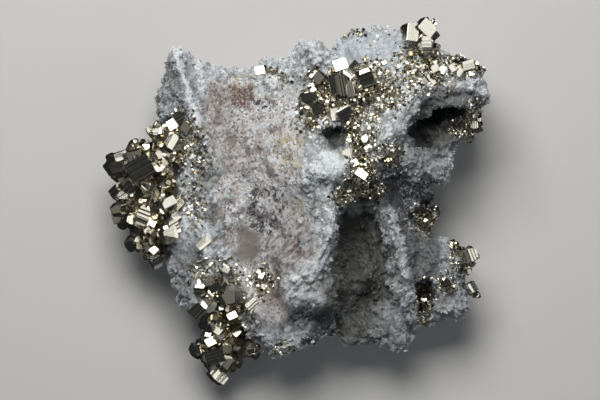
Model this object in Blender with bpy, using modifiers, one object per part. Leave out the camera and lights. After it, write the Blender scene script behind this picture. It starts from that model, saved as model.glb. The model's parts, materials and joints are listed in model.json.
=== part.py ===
"""A hand specimen of pyrite with quartz, lying on its back with its best face up.

The rock is one solid: a plate with a carved front, a rounded back, lumps added and hollows taken away.
Each growth of pyrite is one solid of crystals that run into each other, cut back to fit on the rock.
X runs to the right across the best face, Y runs up it, and Z points out of it.
Sizes here are millimetres and become metres in the meshes.
"""

import math
import random
from collections import namedtuple

import bmesh
import bpy
import numpy as np
from mathutils import Matrix, Vector, noise
from mathutils.bvhtree import BVHTree

MM = 0.001

# Driving dimensions
ROCK_SKIN = 1.1
ROCK_TRIANGLES = 4300
LUMP_DETAIL = 3
ROOT_DETAIL = 1
PLATE_THICKNESS = 40.0
MIDDLE_LEVEL = 16.0
MIDDLE_RISE = 0.4
LEAST_FRONT = 4.0
FRONT_SHOULDER = 5.5
BACK_SHOULDER = 9.0
EDGE_SHARE = 0.3
SEAT_GAP = 0.3
FLAT_CUTTER_SIZE = 150.0
MERGE_WITHIN = 0.01
ROUGHNESS_HEIGHT = 1.5
ROUGHNESS_SIZE = 5.5
FINE_SIZE = 2.5
FINE_SHARE = 0.5
FINE_SHIFT = (7.0, 3.0, 5.0)
FACE_SMOOTHNESS = 0.65

# The hollow face is a shallow bowl, lowest at its middle.
BOWL_MIDDLE = (-12.0, 4.0)
BOWL_LEVEL = 23.5
BOWL_CURVE = 0.0050
BOWL_RADII = (24.0, 33.0)

# Right of the rim the front drops to this level.
FLOOR_LEVEL = 15.0
FLOOR_LEFT = 11.0
FLOOR_TOP = 8.0

# The back is broken along flat planes: each one's height under the origin and its slopes along X and Y.
Break = namedtuple("Break", "height along_x along_y")
BREAKS = [
    Break(-1.5, 0.0, 0.012), Break(-9.5, -0.46, 0.05), Break(-13.0, 0.44, 0.08),
    Break(-12.5, -0.12, 0.46), Break(-9.0, 0.06, -0.44), Break(-24.0, 0.42, 0.40),
    Break(-19.0, -0.44, -0.40), Break(-22.0, -0.50, 0.42), Break(-21.0, 0.36, -0.46),
    Break(-42.0, -0.1, 1.25), Break(-38.0, -1.35, 0.15), Break(-50.0, 1.30, -0.1),
    Break(-36.5, 0.15, -1.2),
]
BREAK_BLEND = 1.2

# Outline of the rock seen from the front, clockwise from the tip of the left wing.
OUTLINE = [
    (-33.0, 43.0), (-29.0, 40.5), (-25.5, 38.5), (-16.0, 37.5), (-10.5, 38.8), (-0.5, 40.5),
    (1.0, 44.0), (6.0, 45.0), (10.0, 42.0), (15.5, 47.8), (26.5, 48.0), (31.5, 47.5),
    (38.5, 43.0), (42.0, 41.3), (49.8, 38.5), (52.3, 33.0), (52.5, 28.8), (49.0, 26.0), (47.5, 19.0),
    (43.5, 15.0), (41.8, 10.5), (37.0, 6.5), (38.5, 2.0), (38.0, -5.0), (36.5, -7.5),
    (38.0, -10.5), (44.0, -10.5), (46.5, -14.0), (47.0, -19.5), (49.0, -24.0), (44.3, -30.3),
    (39.3, -33.5), (33.0, -34.5), (31.4, -40.0), (22.8, -40.0), (15.0, -39.5), (11.0, -36.5),
    (6.0, -38.2), (-1.7, -41.8), (-7.0, -42.3), (-10.5, -37.5), (-14.5, -33.0), (-18.0, -30.5),
    (-23.5, -31.5), (-29.0, -30.5), (-32.5, -26.5), (-33.3, -21.5), (-36.0, -15.5), (-35.5, -7.0),
    (-36.5, 4.0), (-36.5, 15.0), (-37.0, 22.3), (-38.5, 27.2), (-36.9, 33.0), (-35.5, 40.5),
]

# A ridge follows its points (x, y, height). Its crest is as round as crest, and its two flanks fall by
# these slopes, left and right of its own direction. A ridge of one point is a dome.
Ridge = namedtuple("Ridge", "name points crest left right")
RIDGES = [
    Ridge("wing", [(-32.5, 43, 32), (-31, 34, 35), (-28, 24, 34), (-22.5, 12, 31)], 1.6, 0.55, 1.1),
    Ridge("left bank", [(-22.5, 12, 31), (-23, 0, 29), (-24, -10, 28), (-24.5, -17, 28)], 2.5, 0.5, 0.7),
    Ridge("quartz beside the low growth", [(-27, -14, 26), (-30.5, -22, 25),
                                           (-27.5, -28, 24)], 2.0, 1.0, 1.2),
    Ridge("top rim", [(-26, 37, 28.5), (-10, 37.2, 28.5), (-1, 38.5, 30), (6, 41, 33)], 1.2, 0.9, 0.55),
    Ridge("top bump", [(5.5, 41.5, 36)], 2.0, 1.5, 1.5),
    Ridge("rim", [(9.0, 12, 44.5), (9.6, 5, 42.5), (10.2, -5, 41), (7.6, -14, 38.5),
                  (0.5, -20.5, 36), (-3.5, -24, 32)], 1.0, 4.5, 0.7),
    Ridge("lower slope", [(3, -20, 34), (0, -30, 29), (-4, -38, 24)], 4.0, 0.7, 0.6),
    Ridge("face slab", [(2, -3, 29), (-3.5, -13, 28)], 3.0, 0.4, 1.0),
    Ridge("shelf under the seam", [(15, 24, 39), (16, 12, 35.5), (18, 5, 32)], 3.5, 1.0, 1.0),
    Ridge("centre rise", [(4, 32, 34), (10, 28, 37)], 4.5, 0.55, 0.6),
    Ridge("pillar", [(23, 8, 38), (26.5, -2, 36), (29, -12, 35), (31, -22, 33),
                     (30.5, -30, 29)], 1.6, 0.8, 3.4),
    Ridge("saddle", [(34, -11, 25), (40, -15, 26)], 3.0, 0.8, 0.8),
    Ridge("low lobe", [(27, -36, 25)], 3.5, 1.1, 1.1),
    Ridge("right lobe", [(39.5, -12.5, 27), (43, -19, 29), (41, -27, 26)], 2.5, 1.0, 1.0),
    Ridge("block face", [(17, 45, 38), (24, 40, 43), (30, 37, 46)], 6.0, 0.5, 0.55),
    Ridge("white ridge", [(33.5, 31.5, 48.5), (28.5, 23, 49.5), (23.5, 14, 46.5)], 2.2, 3.0, 0.9),
    Ridge("arm", [(34, 38, 45), (43, 36.5, 42), (49.5, 34, 38)], 2.0, 0.6, 0.6),
    Ridge("lip", [(32, 31, 48), (41, 30, 44), (51, 28.5, 39)], 1.4, 0.8, 4.0),
    Ridge("middle right lobe", [(31, 12, 39), (38, 9.5, 36)], 2.6, 1.2, 1.2),
    Ridge("end of the overhang", [(49, 25, 31), (46.5, 19, 28)], 1.8, 1.2, 1.2),
]
BLEND = 1.4

# Rounded masses added to the plate: centre and radii.
Lump = namedtuple("Lump", "name centre radii")
LUMPS = [
    Lump("knob", (9.2, 10.3, 42.5), (6.4, 4.4, 4.8)),
    Lump("left side of the knob", (4.6, 7.4, 38.6), (4.2, 4.2, 4.2)),
    Lump("top bump", (5.5, 41.0, 31.0), (4.6, 4.0, 6.0)),
    Lump("wing tip", (-32.0, 38.0, 29.0), (3.6, 6.0, 5.0)),
    Lump("flap", (-24.6, -12.6, 28.0), (2.2, 4.2, 3.4)),
    Lump("corner mass", (51.0, 30.5, 36.0), (3.0, 3.6, 3.4)),
    Lump("right finger", (44.0, -28.0, 22.0), (4.6, 4.2, 5.0)),
    Lump("low corner", (29.0, -37.5, 21.0), (4.4, 3.6, 4.6)),
    Lump("bottom bump", (16.5, -37.5, 16.5), (3.5, 3.0, 4.5)),
    Lump("foot of the lower slope", (-5.0, -39.3, 20.0), (5.2, 4.0, 5.0)),
    Lump("end of the middle right lobe", (39.5, 9.5, 31.0), (4.4, 4.2, 5.5)),
    Lump("lip bead", (38.0, 29.0, 43.0), (3.4, 2.4, 2.8)),
    Lump("lip end bead", (46.5, 28.2, 39.5), (3.0, 2.2, 2.6)),
]

# Hollows taken out of the plate: centre and radii.
HOLLOWS = [
    Lump("under the lip", (36.0, 19.2, 38.0), (6.2, 4.6, 17.0)),
    Lump("under the lip, outer end", (42.0, 22.6, 37.0), (6.0, 4.8, 15.0)),
    Lump("behind the lip", (40.0, 26.5, 28.0), (8.0, 6.5, 8.0)),
    Lump("cavity", (16.6, -12.0, 31.0), (5.4, 14.0, 20.0)),
    Lump("cavity foot", (18.5, -28.0, 29.0), (6.5, 8.5, 15.0)),
    Lump("pit", (10.6, 18.4, 38.0), (3.0, 3.4, 12.0)),
    Lump("gap by the right lobe", (35.6, -26.5, 29.0), (3.2, 6.6, 14.0)),
    Lump("gap over the right lobe", (36.0, -4.0, 30.0), (4.0, 6.5, 9.0)),
    Lump("nick in the right lobe", (41.8, -21.8, 32.5), (1.8, 2.6, 4.0)),
    Lump("bed of the low growth", (-20.0, -27.0, 31.0), (6.6, 8.5, 9.5)),
    Lump("bed of the left growth", (-36.0, 3.0, 32.0), (6.5, 17.0, 9.0)),
    Lump("bed of the face inset", (-9.2, -21.6, 28.5), (2.6, 4.8, 3.5)),
]

# A crystal: centre, size across, kind, where its upper face looks (x and y against 1 up) and its spin.
# A centre with no height sits on the rock.
Crystal = namedtuple("Crystal", "x y z size kind face spin")
ON_ROCK = None
CRYSTAL_STANDS = 0.2
ROOT_SINKS = 0.45
CUBE, BLOCK, MANY = "cube", "cut cube", "pyritohedron"
CORNER_CUT = {CUBE: 0.0, BLOCK: 0.34}
FLAT_WITHIN = 0.3
PENTAGON_RISE = 0.5
COVER_LEAST_RISE = -0.25
COVER_MOST_RISE = 0.95
COVER_DEPTH = 0.95
COVER_LEAN = 0.5

# A growth: rounded roots that hold it together, its main crystals, and how many small ones cover it.
Growth = namedtuple("Growth", "name roots crystals cover cover_size seed", defaults=(0, (0.0, 0.0), 0))
GROWTHS = [
    Growth(
        "pyrite_left_growth",
        [((-41.5, 8.5, 20.5), (7.4, 8.0, 7.5)), ((-40.0, -1.0, 19.5), (8.4, 8.5, 8.0)),
         ((-39.5, -9.5, 18.5), (6.6, 7.0, 7.0)), ((-35.0, 16.0, 24.0), (5.4, 7.5, 6.4)),
         ((-33.5, 3.0, 22.5), (4.5, 9.0, 4.5))],
        [Crystal(-49.3, 10.6, 21.5, 6.4, MANY, (-0.4, 0.5), 20),
         Crystal(-42.6, 10.0, 25.5, 8.0, MANY, (0.1, -0.3), 45),
         Crystal(-43.8, 15.2, 23.5, 4.6, BLOCK, (-0.3, -0.5), 10),
         Crystal(-34.8, 17.0, 28.0, 5.6, BLOCK, (-0.25, 0.4), 28),
         Crystal(-38.4, 19.8, 24.5, 3.8, CUBE, (-0.3, 0.6), 8),
         Crystal(-37.0, 11.8, 28.0, 4.8, BLOCK, (-0.2, 0.45), 35),
         Crystal(-31.6, 11.2, 27.0, 4.4, MANY, (0.3, 0.1), 60),
         Crystal(-33.2, 20.6, 29.4, 4.2, MANY, (-0.2, 0.2), 15),
         Crystal(-47.6, 2.6, 21.0, 4.6, MANY, (-0.5, 0.1), 30),
         Crystal(-47.6, -3.6, 17.0, 4.2, BLOCK, (-0.7, 0.1), 50),
         Crystal(-41.0, 3.6, 26.5, 4.2, CUBE, (-0.1, 0.35), 12),
         Crystal(-35.0, 5.4, 27.0, 4.4, MANY, (0.2, -0.2), 5),
         Crystal(-34.6, 0.2, 27.0, 4.8, BLOCK, (-0.3, 0.5), 70),
         Crystal(-43.4, -3.4, 24.5, 5.8, CUBE, (-0.25, 0.35), 32),
         Crystal(-34.4, -8.4, 26.0, 5.8, MANY, (-0.1, 0.2), 25),
         Crystal(-43.6, -10.0, 19.0, 4.2, CUBE, (-0.8, 0.3), 20),
         Crystal(-38.6, -14.4, 20.5, 4.8, BLOCK, (-0.3, -0.2), 15)],
        4, (2.8, 3.6), 3,
    ),
    Growth(
        "pyrite_lower_left_growth",
        [((-20.5, -24.5, 22.0), (6.2, 6.5, 5.0)), ((-20.0, -34.0, 18.0), (6.6, 6.5, 6.0)),
         ((-21.0, -42.0, 13.5), (5.0, 5.5, 4.8)), ((-14.5, -38.0, 15.0), (4.2, 5.0, 4.2))],
        [Crystal(-17.6, -23.8, 27.0, 5.2, BLOCK, (0.15, 0.1), 5),
         Crystal(-24.0, -20.8, 26.0, 4.4, MANY, (-0.3, 0.1), 30),
         Crystal(-23.2, -26.2, 26.0, 4.4, BLOCK, (-0.2, -0.4), 50),
         Crystal(-13.6, -27.6, 24.5, 4.0, BLOCK, (0.3, 0.3), 35),
         Crystal(-17.6, -30.6, 24.5, 4.0, CUBE, (-0.25, 0.5), 25),
         Crystal(-23.2, -32.4, 23.0, 4.4, MANY, (-0.1, -0.2), 10),
         Crystal(-23.4, -37.2, 21.6, 4.6, BLOCK, (-0.3, 0.5), 12),
         Crystal(-22.2, -42.6, 18.0, 4.8, MANY, (0.0, -0.3), 40),
         Crystal(-27.2, -40.4, 15.5, 4.2, BLOCK, (-0.6, 0.2), 30),
         Crystal(-21.6, -47.8, 12.5, 3.8, CUBE, (-0.2, -0.3), 35),
         Crystal(-18.0, -44.2, 15.0, 4.2, BLOCK, (0.2, -0.3), 15),
         Crystal(-12.4, -40.6, 16.0, 4.6, MANY, (0.4, -0.2), 50),
         Crystal(-17.0, -38.2, 20.4, 4.2, MANY, (0.1, 0.2), 20)],
        3, (2.6, 3.4), 5,
    ),
    Growth(
        "pyrite_centre_growth",
        [((11.0, 31.0, ON_ROCK), (7.5, 6.5, 5.0)), ((5.0, 26.5, ON_ROCK), (4.4, 6.5, 4.6)),
         ((20.0, 29.0, ON_ROCK), (8.0, 5.0, 4.8)), ((17.5, 22.0, ON_ROCK), (5.5, 6.5, 4.8)),
         ((19.0, 15.5, ON_ROCK), (4.6, 5.5, 4.8)), ((19.0, 9.5, ON_ROCK), (4.6, 5.0, 5.0)),
         ((18.6, 5.6, ON_ROCK), (5.0, 4.6, 7.0)), ((23.4, 31.2, ON_ROCK), (4.4, 3.6, 3.8))],
        [Crystal(12.4, 34.2, ON_ROCK, 7.2, BLOCK, (-0.22, 0.42), 36),
         Crystal(17.6, 33.4, ON_ROCK, 6.0, MANY, (0.4, -0.2), 15),
         Crystal(6.0, 34.0, ON_ROCK, 4.4, BLOCK, (-0.4, 0.2), 45),
         Crystal(3.8, 29.2, ON_ROCK, 5.4, MANY, (-0.3, -0.1), 30),
         Crystal(7.8, 26.6, ON_ROCK, 5.0, MANY, (0.2, -0.3), 55),
         Crystal(10.8, 24.4, ON_ROCK, 3.8, CUBE, (-0.2, 0.35), 10),
         Crystal(14.8, 27.0, ON_ROCK, 4.6, MANY, (0.3, -0.4), 40),
         Crystal(4.2, 22.2, ON_ROCK, 3.6, BLOCK, (-0.1, -0.3), 65),
         Crystal(24.6, 31.4, ON_ROCK, 3.2, CUBE, (-0.2, 0.5), 30),
         Crystal(16.8, 17.0, ON_ROCK, 3.2, BLOCK, (-0.3, 0.4), 20),
         Crystal(16.4, 6.4, ON_ROCK, 3.4, BLOCK, (-0.2, 0.5), 40),
         Crystal(20.6, 10.6, ON_ROCK, 3.0, CUBE, (-0.3, 0.3), 25)],
    ),
    Growth(
        "pyrite_top_growth",
        [((34.0, 44.4, 43.0), (4.4, 4.2, 3.6)), ((35.0, 38.4, ON_ROCK), (5.4, 4.8, 2.6))],
        [Crystal(31.6, 46.8, 45.4, 4.4, CUBE, (-0.22, 0.42), 2),
         Crystal(36.2, 48.0, 44.4, 4.8, CUBE, (-0.18, 0.40), 52),
         Crystal(35.8, 43.0, 46.6, 4.6, BLOCK, (-0.15, 0.5), 5),
         Crystal(37.8, 35.0, ON_ROCK, 3.6, CUBE, (-0.15, 0.35), 48)],
    ),
    Growth(
        "pyrite_far_right_druse",
        [((46.2, 37.0, ON_ROCK), (4.6, 2.8, 2.4))],
        [Crystal(49.0, 37.0, ON_ROCK, 2.8, BLOCK, (0.3, 0.3), 25),
         Crystal(43.4, 37.8, ON_ROCK, 2.6, CUBE, (-0.2, 0.4), 40)],
    ),
    Growth(
        "pyrite_right_edge_crystals",
        [((48.2, 22.4, 29.0), (2.6, 4.2, 3.0))],
        [Crystal(50.0, 24.8, 30.5, 3.4, BLOCK, (0.3, 0.4), 15),
         Crystal(50.2, 21.0, 29.5, 3.2, CUBE, (0.3, 0.2), 50),
         Crystal(47.4, 18.8, 28.5, 2.8, MANY, (-0.1, -0.3), 35)],
    ),
    Growth(
        "pyrite_right_middle_crystals",
        [((37.2, -3.4, 21.5), (2.8, 3.4, 2.8))],
        [Crystal(38.2, -1.8, 23.4, 3.0, BLOCK, (0.2, 0.5), 30),
         Crystal(36.6, -5.4, 23.6, 3.0, MANY, (0.1, -0.3), 10)],
    ),
    Growth(
        "pyrite_lower_right_crystals",
        [((46.2, -14.6, 22.5), (3.2, 3.2, 3.0))],
        [Crystal(48.0, -14.4, 25.6, 4.4, CUBE, (0.1, 0.45), 38),
         Crystal(47.4, -17.8, 23.6, 4.0, MANY, (0.4, -0.3), 20),
         Crystal(44.0, -11.4, 24.0, 2.8, BLOCK, (-0.1, 0.5), 45)],
    ),
    Growth(
        "pyrite_lower_right_tip",
        [((48.4, -23.6, 20.5), (2.2, 2.2, 2.2))],
        [Crystal(49.4, -23.4, 22.2, 3.2, BLOCK, (0.2, 0.4), 20),
         Crystal(50.2, -25.4, 20.2, 2.6, CUBE, (0.5, 0.0), 55)],
    ),
    Growth(
        "pyrite_hollow_crystals",
        [((35.4, -26.0, ON_ROCK), (2.6, 4.6, 2.4))],
        [Crystal(35.4, -28.4, ON_ROCK, 3.0, MANY, (0.2, 0.3), 25),
         Crystal(35.6, -23.8, ON_ROCK, 2.8, BLOCK, (-0.2, 0.3), 50)],
    ),
    Growth(
        "pyrite_lobe_inset",
        [((41.8, -21.8, ON_ROCK), (1.7, 2.4, 1.8))],
        [Crystal(41.6, -20.6, ON_ROCK, 2.4, BLOCK, (-0.1, 0.3), 35),
         Crystal(42.2, -23.0, ON_ROCK, 2.2, CUBE, (0.2, -0.2), 10)],
    ),
    Growth(
        "pyrite_face_inset",
        [((-9.2, -21.4, ON_ROCK), (3.0, 5.4, 3.4))],
        [Crystal(-9.6, -18.8, ON_ROCK, 3.2, BLOCK, (-0.2, 0.45), 30),
         Crystal(-9.2, -23.2, ON_ROCK, 3.0, MANY, (0.1, 0.2), 55)],
    ),
    Growth(
        "pyrite_rim_crystals",
        [((-7.6, 36.6, ON_ROCK), (2.8, 1.6, 1.6))],
        [Crystal(-8.6, 36.8, ON_ROCK, 2.8, CUBE, (-0.2, 0.45), 15),
         Crystal(-5.8, 36.0, ON_ROCK, 2.0, BLOCK, (0.2, 0.2), 40)],
    ),
    Growth(
        "pyrite_dark_patch",
        [((25.0, 13.0, ON_ROCK), (3.2, 2.0, 1.6))],
        [Crystal(25.8, 13.2, ON_ROCK, 2.4, MANY, (0.2, -0.2), 10),
         Crystal(23.4, 12.6, ON_ROCK, 2.2, BLOCK, (-0.2, -0.2), 30)],
    ),
]

PYRITE_COLOUR = (0.68, 0.57, 0.33, 1.0)
PYRITE_ROUGHNESS = 0.2
QUARTZ_COLOUR = (0.66, 0.65, 0.65, 1.0)
QUARTZ_ROUGHNESS = 0.6


def clear_scene():
    for thing in list(bpy.data.objects):
        bpy.data.objects.remove(thing, do_unlink=True)


def new_collection(name):
    made = bpy.data.collections.new(name)
    bpy.context.scene.collection.children.link(made)
    return made


def new_material(name, colour, roughness, metallic):
    made = bpy.data.materials.new(name)
    made.use_nodes = True
    shader = made.node_tree.nodes["Principled BSDF"]
    shader.inputs["Base Color"].default_value = colour
    shader.inputs["Roughness"].default_value = roughness
    shader.inputs["Metallic"].default_value = metallic
    return made


def new_object(name, mesh, collection):
    made = bpy.data.objects.new(name, mesh)
    collection.objects.link(made)
    return made


def mesh_from(shape, name):
    """Turns a bmesh into a mesh and frees it."""
    mesh = bpy.data.meshes.new(name)
    shape.to_mesh(mesh)
    shape.free()
    return mesh


def apply_modifiers(thing):
    """Replaces an object's mesh by what its modifiers make of it."""
    seen = thing.evaluated_get(bpy.context.evaluated_depsgraph_get())
    mesh = bpy.data.meshes.new_from_object(seen)
    thing.modifiers.clear()
    thing.data = mesh


def boolean(thing, other, operation):
    cut = thing.modifiers.new(operation.title(), "BOOLEAN")
    cut.operation = operation
    cut.object = other
    cut.solver = "EXACT"
    apply_modifiers(thing)


def even_skin(thing, size):
    skin = thing.modifiers.new("Even skin", "REMESH")
    skin.mode = "VOXEL"
    skin.voxel_size = size * MM
    apply_modifiers(thing)


def keep_largest(thing):
    """Drops loose crumbs and closed hollows, which cutting and joining can leave beside the main body."""
    shape = bmesh.new()
    shape.from_mesh(thing.data)
    todo = set(shape.verts)
    bodies = []
    while todo:
        body = {todo.pop()}
        front = list(body)
        while front:
            corner = front.pop()
            near = {edge.other_vert(corner) for edge in corner.link_edges} - body
            body |= near
            front += near
        todo -= body
        bodies.append(body)
    bodies.sort(key=len)
    for body in bodies[:-1]:
        middle = sum((corner.co for corner in body), Vector()) / len(body) / MM
        where = ", ".join(f"{value:.1f}" for value in middle)
        print(f"{thing.name}: dropped a crumb or a closed hollow of {len(body)} corners at {where}")
        bmesh.ops.delete(shape, geom=list(body), context="VERTS")
    shape.to_mesh(thing.data)
    shape.free()


# The front of the rock


def distance_to_polyline(x, y, points):
    """For each place: how far the line is, the height of its nearest point, and the side it lies on."""
    far = np.full_like(x, np.inf)
    height = np.zeros_like(x)
    side = np.zeros_like(x)
    ends = points[1:] or points
    for (ax, ay, az), (bx, by, bz) in zip(points, ends):
        run = (bx - ax) ** 2 + (by - ay) ** 2
        along = ((x - ax) * (bx - ax) + (y - ay) * (by - ay)) / max(run, 1e-9)
        along = np.clip(along, 0.0, 1.0)
        off = np.hypot(x - ax - along * (bx - ax), y - ay - along * (by - ay))
        nearer = off < far
        far = np.where(nearer, off, far)
        height = np.where(nearer, az + along * (bz - az), height)
        across = (bx - ax) * (y - ay) - (by - ay) * (x - ax)
        side = np.where(nearer, np.sign(across), side)
    return far, height, side


def ridge_height(ridge, x, y):
    far, height, side = distance_to_polyline(x, y, ridge.points)
    slope = np.where(side > 0, ridge.left, ridge.right)
    return height - slope * (np.hypot(far, ridge.crest) - ridge.crest)


def smooth_max(a, b, blend):
    return 0.5 * (a + b + np.hypot(a - b, blend))


def front_height(x, y):
    """The height of the carved front, before lumps and hollows."""
    bowl = BOWL_LEVEL + BOWL_CURVE * ((x - BOWL_MIDDLE[0]) ** 2 + (y - BOWL_MIDDLE[1]) ** 2)
    beyond_rim = (x > FLOOR_LEFT) & (y < FLOOR_TOP)
    height = np.where(beyond_rim, FLOOR_LEVEL, bowl)
    for ridge in RIDGES:
        height = smooth_max(height, ridge_height(ridge, x, y), BLEND)
    return height


def back_height(x, y):
    """The height of the broken back: the highest of its planes at each place."""
    height = np.full_like(x, BREAKS[0].height)
    for plane in BREAKS:
        height = smooth_max(height, plane.height + plane.along_x * x + plane.along_y * y, BREAK_BLEND)
    return height


def edge_distance(x, y):
    """How far each place is from the outline."""
    corners = [(px, py, 0.0) for px, py in OUTLINE]
    far, _, _ = distance_to_polyline(x, y, corners + corners[:1])
    return far


def shoulder(far, radius):
    """How full the section is this far from the outline: it rises along a quarter of an ellipse."""
    inward = np.clip(far / radius, 0.0, 1.0)
    return EDGE_SHARE + (1.0 - EDGE_SHARE) * np.sqrt(1.0 - (1.0 - inward) ** 2)


def plate_mesh():
    """The outline as a filled curve with a thickness, turned into a mesh."""
    flat = bpy.data.curves.new("Outline", "CURVE")
    flat.dimensions = "2D"
    flat.fill_mode = "BOTH"
    flat.extrude = PLATE_THICKNESS / 2 * MM
    line = flat.splines.new("POLY")
    line.points.add(len(OUTLINE) - 1)
    for point, (x, y) in zip(line.points, OUTLINE):
        point.co = (x * MM, y * MM, 0.0, 1.0)
    line.use_cyclic_u = True
    guide = new_object("Outline", flat, bpy.context.scene.collection)
    seen = guide.evaluated_get(bpy.context.evaluated_depsgraph_get())
    mesh = bpy.data.meshes.new_from_object(seen)
    bpy.data.objects.remove(guide)
    shape = bmesh.new()
    shape.from_mesh(mesh)
    bmesh.ops.remove_doubles(shape, verts=shape.verts, dist=MERGE_WITHIN * MM)
    bmesh.ops.recalc_face_normals(shape, faces=shape.faces)
    return mesh_from(shape, "quartz_rock")


def press_relief(thing):
    """Moves the plate's two sides to the heights of the front and the back, and rounds its edge."""
    count = len(thing.data.vertices)
    places = np.empty(count * 3)
    thing.data.vertices.foreach_get("co", places)
    places = places.reshape(-1, 3) / MM
    x, y = places[:, 0], places[:, 1]
    share = places[:, 2] / PLATE_THICKNESS + 0.5
    far = edge_distance(x, y)
    front = front_height(x, y)
    back = back_height(x, y)
    middle = np.minimum(MIDDLE_LEVEL + MIDDLE_RISE * (front - BOWL_LEVEL), front - LEAST_FRONT)
    front = middle + (front - middle) * shoulder(far, FRONT_SHOULDER)
    back = middle + (back - middle) * shoulder(far, BACK_SHOULDER)
    places[:, 2] = back + share * (front - back)
    thing.data.vertices.foreach_set("co", (places * MM).ravel())
    thing.data.update()


def ellipsoid(shape, centre, radii, detail):
    """Adds an ellipsoid to a bmesh, in millimetres."""
    size = Matrix.Diagonal([radius * MM for radius in radii]).to_4x4()
    place = Matrix.Translation(Vector(centre) * MM) @ size
    bmesh.ops.create_icosphere(shape, subdivisions=detail, radius=1.0, matrix=place)


def lumps_object(name, lumps, collection):
    """Overlapping ellipsoids under one even skin."""
    shape = bmesh.new()
    for lump in lumps:
        ellipsoid(shape, lump.centre, lump.radii, LUMP_DETAIL)
    made = new_object(name, mesh_from(shape, name), collection)
    even_skin(made, ROCK_SKIN)
    return made


def roughen(thing):
    """Pushes the skin in and out by smooth noise in two sizes, as a grown crust is."""
    thing.data.update()
    moves = []
    for point in thing.data.vertices:
        at = point.co / MM
        broad = noise.noise(at / ROUGHNESS_SIZE)
        fine = noise.noise(at / FINE_SIZE + Vector(FINE_SHIFT))
        across = (at.x - BOWL_MIDDLE[0]) / BOWL_RADII[0]
        up = (at.y - BOWL_MIDDLE[1]) / BOWL_RADII[1]
        on_face = math.hypot(across, up) < 1.0 and point.normal.z > 0.0
        calm = 1.0 - FACE_SMOOTHNESS if on_face else 1.0
        moves.append(point.normal * (broad + FINE_SHARE * fine) * calm * ROUGHNESS_HEIGHT * MM)
    for point, move in zip(thing.data.vertices, moves):
        point.co += move


def decimate(thing, triangles):
    thing.data.calc_loop_triangles()
    thin = thing.modifiers.new("Thin out", "DECIMATE")
    thin.ratio = triangles / len(thing.data.loop_triangles)
    thin.use_collapse_triangulate = True
    apply_modifiers(thing)


def hide_helper(thing):
    thing.hide_render = True
    thing.display_type = "WIRE"


def make_rock(parts, cutters):
    rock = new_object("quartz_rock", plate_mesh(), parts)
    even_skin(rock, ROCK_SKIN)
    press_relief(rock)
    added = lumps_object("Added masses", LUMPS, cutters)
    taken = lumps_object("Hollows", HOLLOWS, cutters)
    boolean(rock, added, "UNION")
    boolean(rock, taken, "DIFFERENCE")
    for helper in (added, taken):
        hide_helper(helper)
    even_skin(rock, ROCK_SKIN)
    roughen(rock)
    decimate(rock, ROCK_TRIANGLES)
    return rock


def rest_flat(rock, cutters):
    """Cuts the back off flat at the level the specimen rests on."""
    size = FLAT_CUTTER_SIZE * MM
    shape = bmesh.new()
    bmesh.ops.create_cube(shape, size=size)
    floor = new_object("Flat of the back", mesh_from(shape, "Flat of the back"), cutters)
    floor.location.z = size / 2
    bpy.context.view_layer.update()
    boolean(rock, floor, "INTERSECT")
    hide_helper(floor)


# Crystals


def turn_to(face, spin):
    """The turn that brings +Z to the face's direction, after a spin about it."""
    way = Vector((face[0], face[1], 1.0)).normalized()
    return way.to_track_quat("Z", "Y").to_matrix().to_4x4() @ Matrix.Rotation(math.radians(spin), 4, "Z")


def pyritohedron_corners():
    """Twenty corners: a cube's eight, and the twelve ends of the roof edge on each of its faces."""
    corners = [Vector((x, y, z)) for x in (-1, 1) for y in (-1, 1) for z in (-1, 1)]
    high, low = 1.0 + PENTAGON_RISE, 1.0 - PENTAGON_RISE**2
    for a in (-high, high):
        for b in (-low, low):
            corners += [Vector((0.0, b, a)), Vector((b, a, 0.0)), Vector((a, 0.0, b))]
    return corners


def add_crystal(shape, crystal):
    """Adds one crystal to a bmesh."""
    half = crystal.size / 2 * MM
    place = Matrix.Translation(Vector((crystal.x, crystal.y, crystal.z)) * MM)
    place = place @ turn_to(crystal.face, crystal.spin)
    if crystal.kind == MANY:
        scale = half / (1.0 + PENTAGON_RISE / 2)
        fresh = [shape.verts.new(place @ (corner * scale)) for corner in pyritohedron_corners()]
        bmesh.ops.convex_hull(shape, input=fresh)
    else:
        bmesh.ops.create_cube(shape, size=2 * half, matrix=place)
        cut = CORNER_CUT[crystal.kind] * 2 * half
        if cut:
            bmesh.ops.bevel(shape, geom=shape.verts[:], offset=cut, segments=1, affect="VERTICES")


def covering(growth):
    """Small crystals spread over the upper sides of a growth's roots, at random but the same each run."""
    pick = random.Random(growth.seed)
    found = []
    for number in range(growth.cover):
        centre, radii = growth.roots[number % len(growth.roots)]
        around = pick.uniform(0.0, 2 * math.pi)
        rise = pick.uniform(COVER_LEAST_RISE, COVER_MOST_RISE)
        flat = math.sqrt(1.0 - rise * rise)
        out = (math.cos(around) * flat, math.sin(around) * flat, rise)
        at = [c + o * r * COVER_DEPTH for c, o, r in zip(centre, out, radii)]
        face = [out[axis] + pick.uniform(-COVER_LEAN, COVER_LEAN) for axis in (0, 1)]
        kind = pick.choice((CUBE, CUBE, CUBE, MANY))
        found.append(Crystal(*at, pick.uniform(*growth.cover_size), kind, face, pick.uniform(0, 90)))
    return found


def top_of(rock):
    """A function that gives the height of the rock's upper surface at a place."""
    corners = [point.co for point in rock.data.vertices]
    tree = BVHTree.FromPolygons(corners, [face.vertices for face in rock.data.polygons])

    def height(x, y):
        hit, _, _, _ = tree.ray_cast(Vector((x * MM, y * MM, 1.0)), Vector((0.0, 0.0, -1.0)))
        return hit.z / MM

    return height


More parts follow.
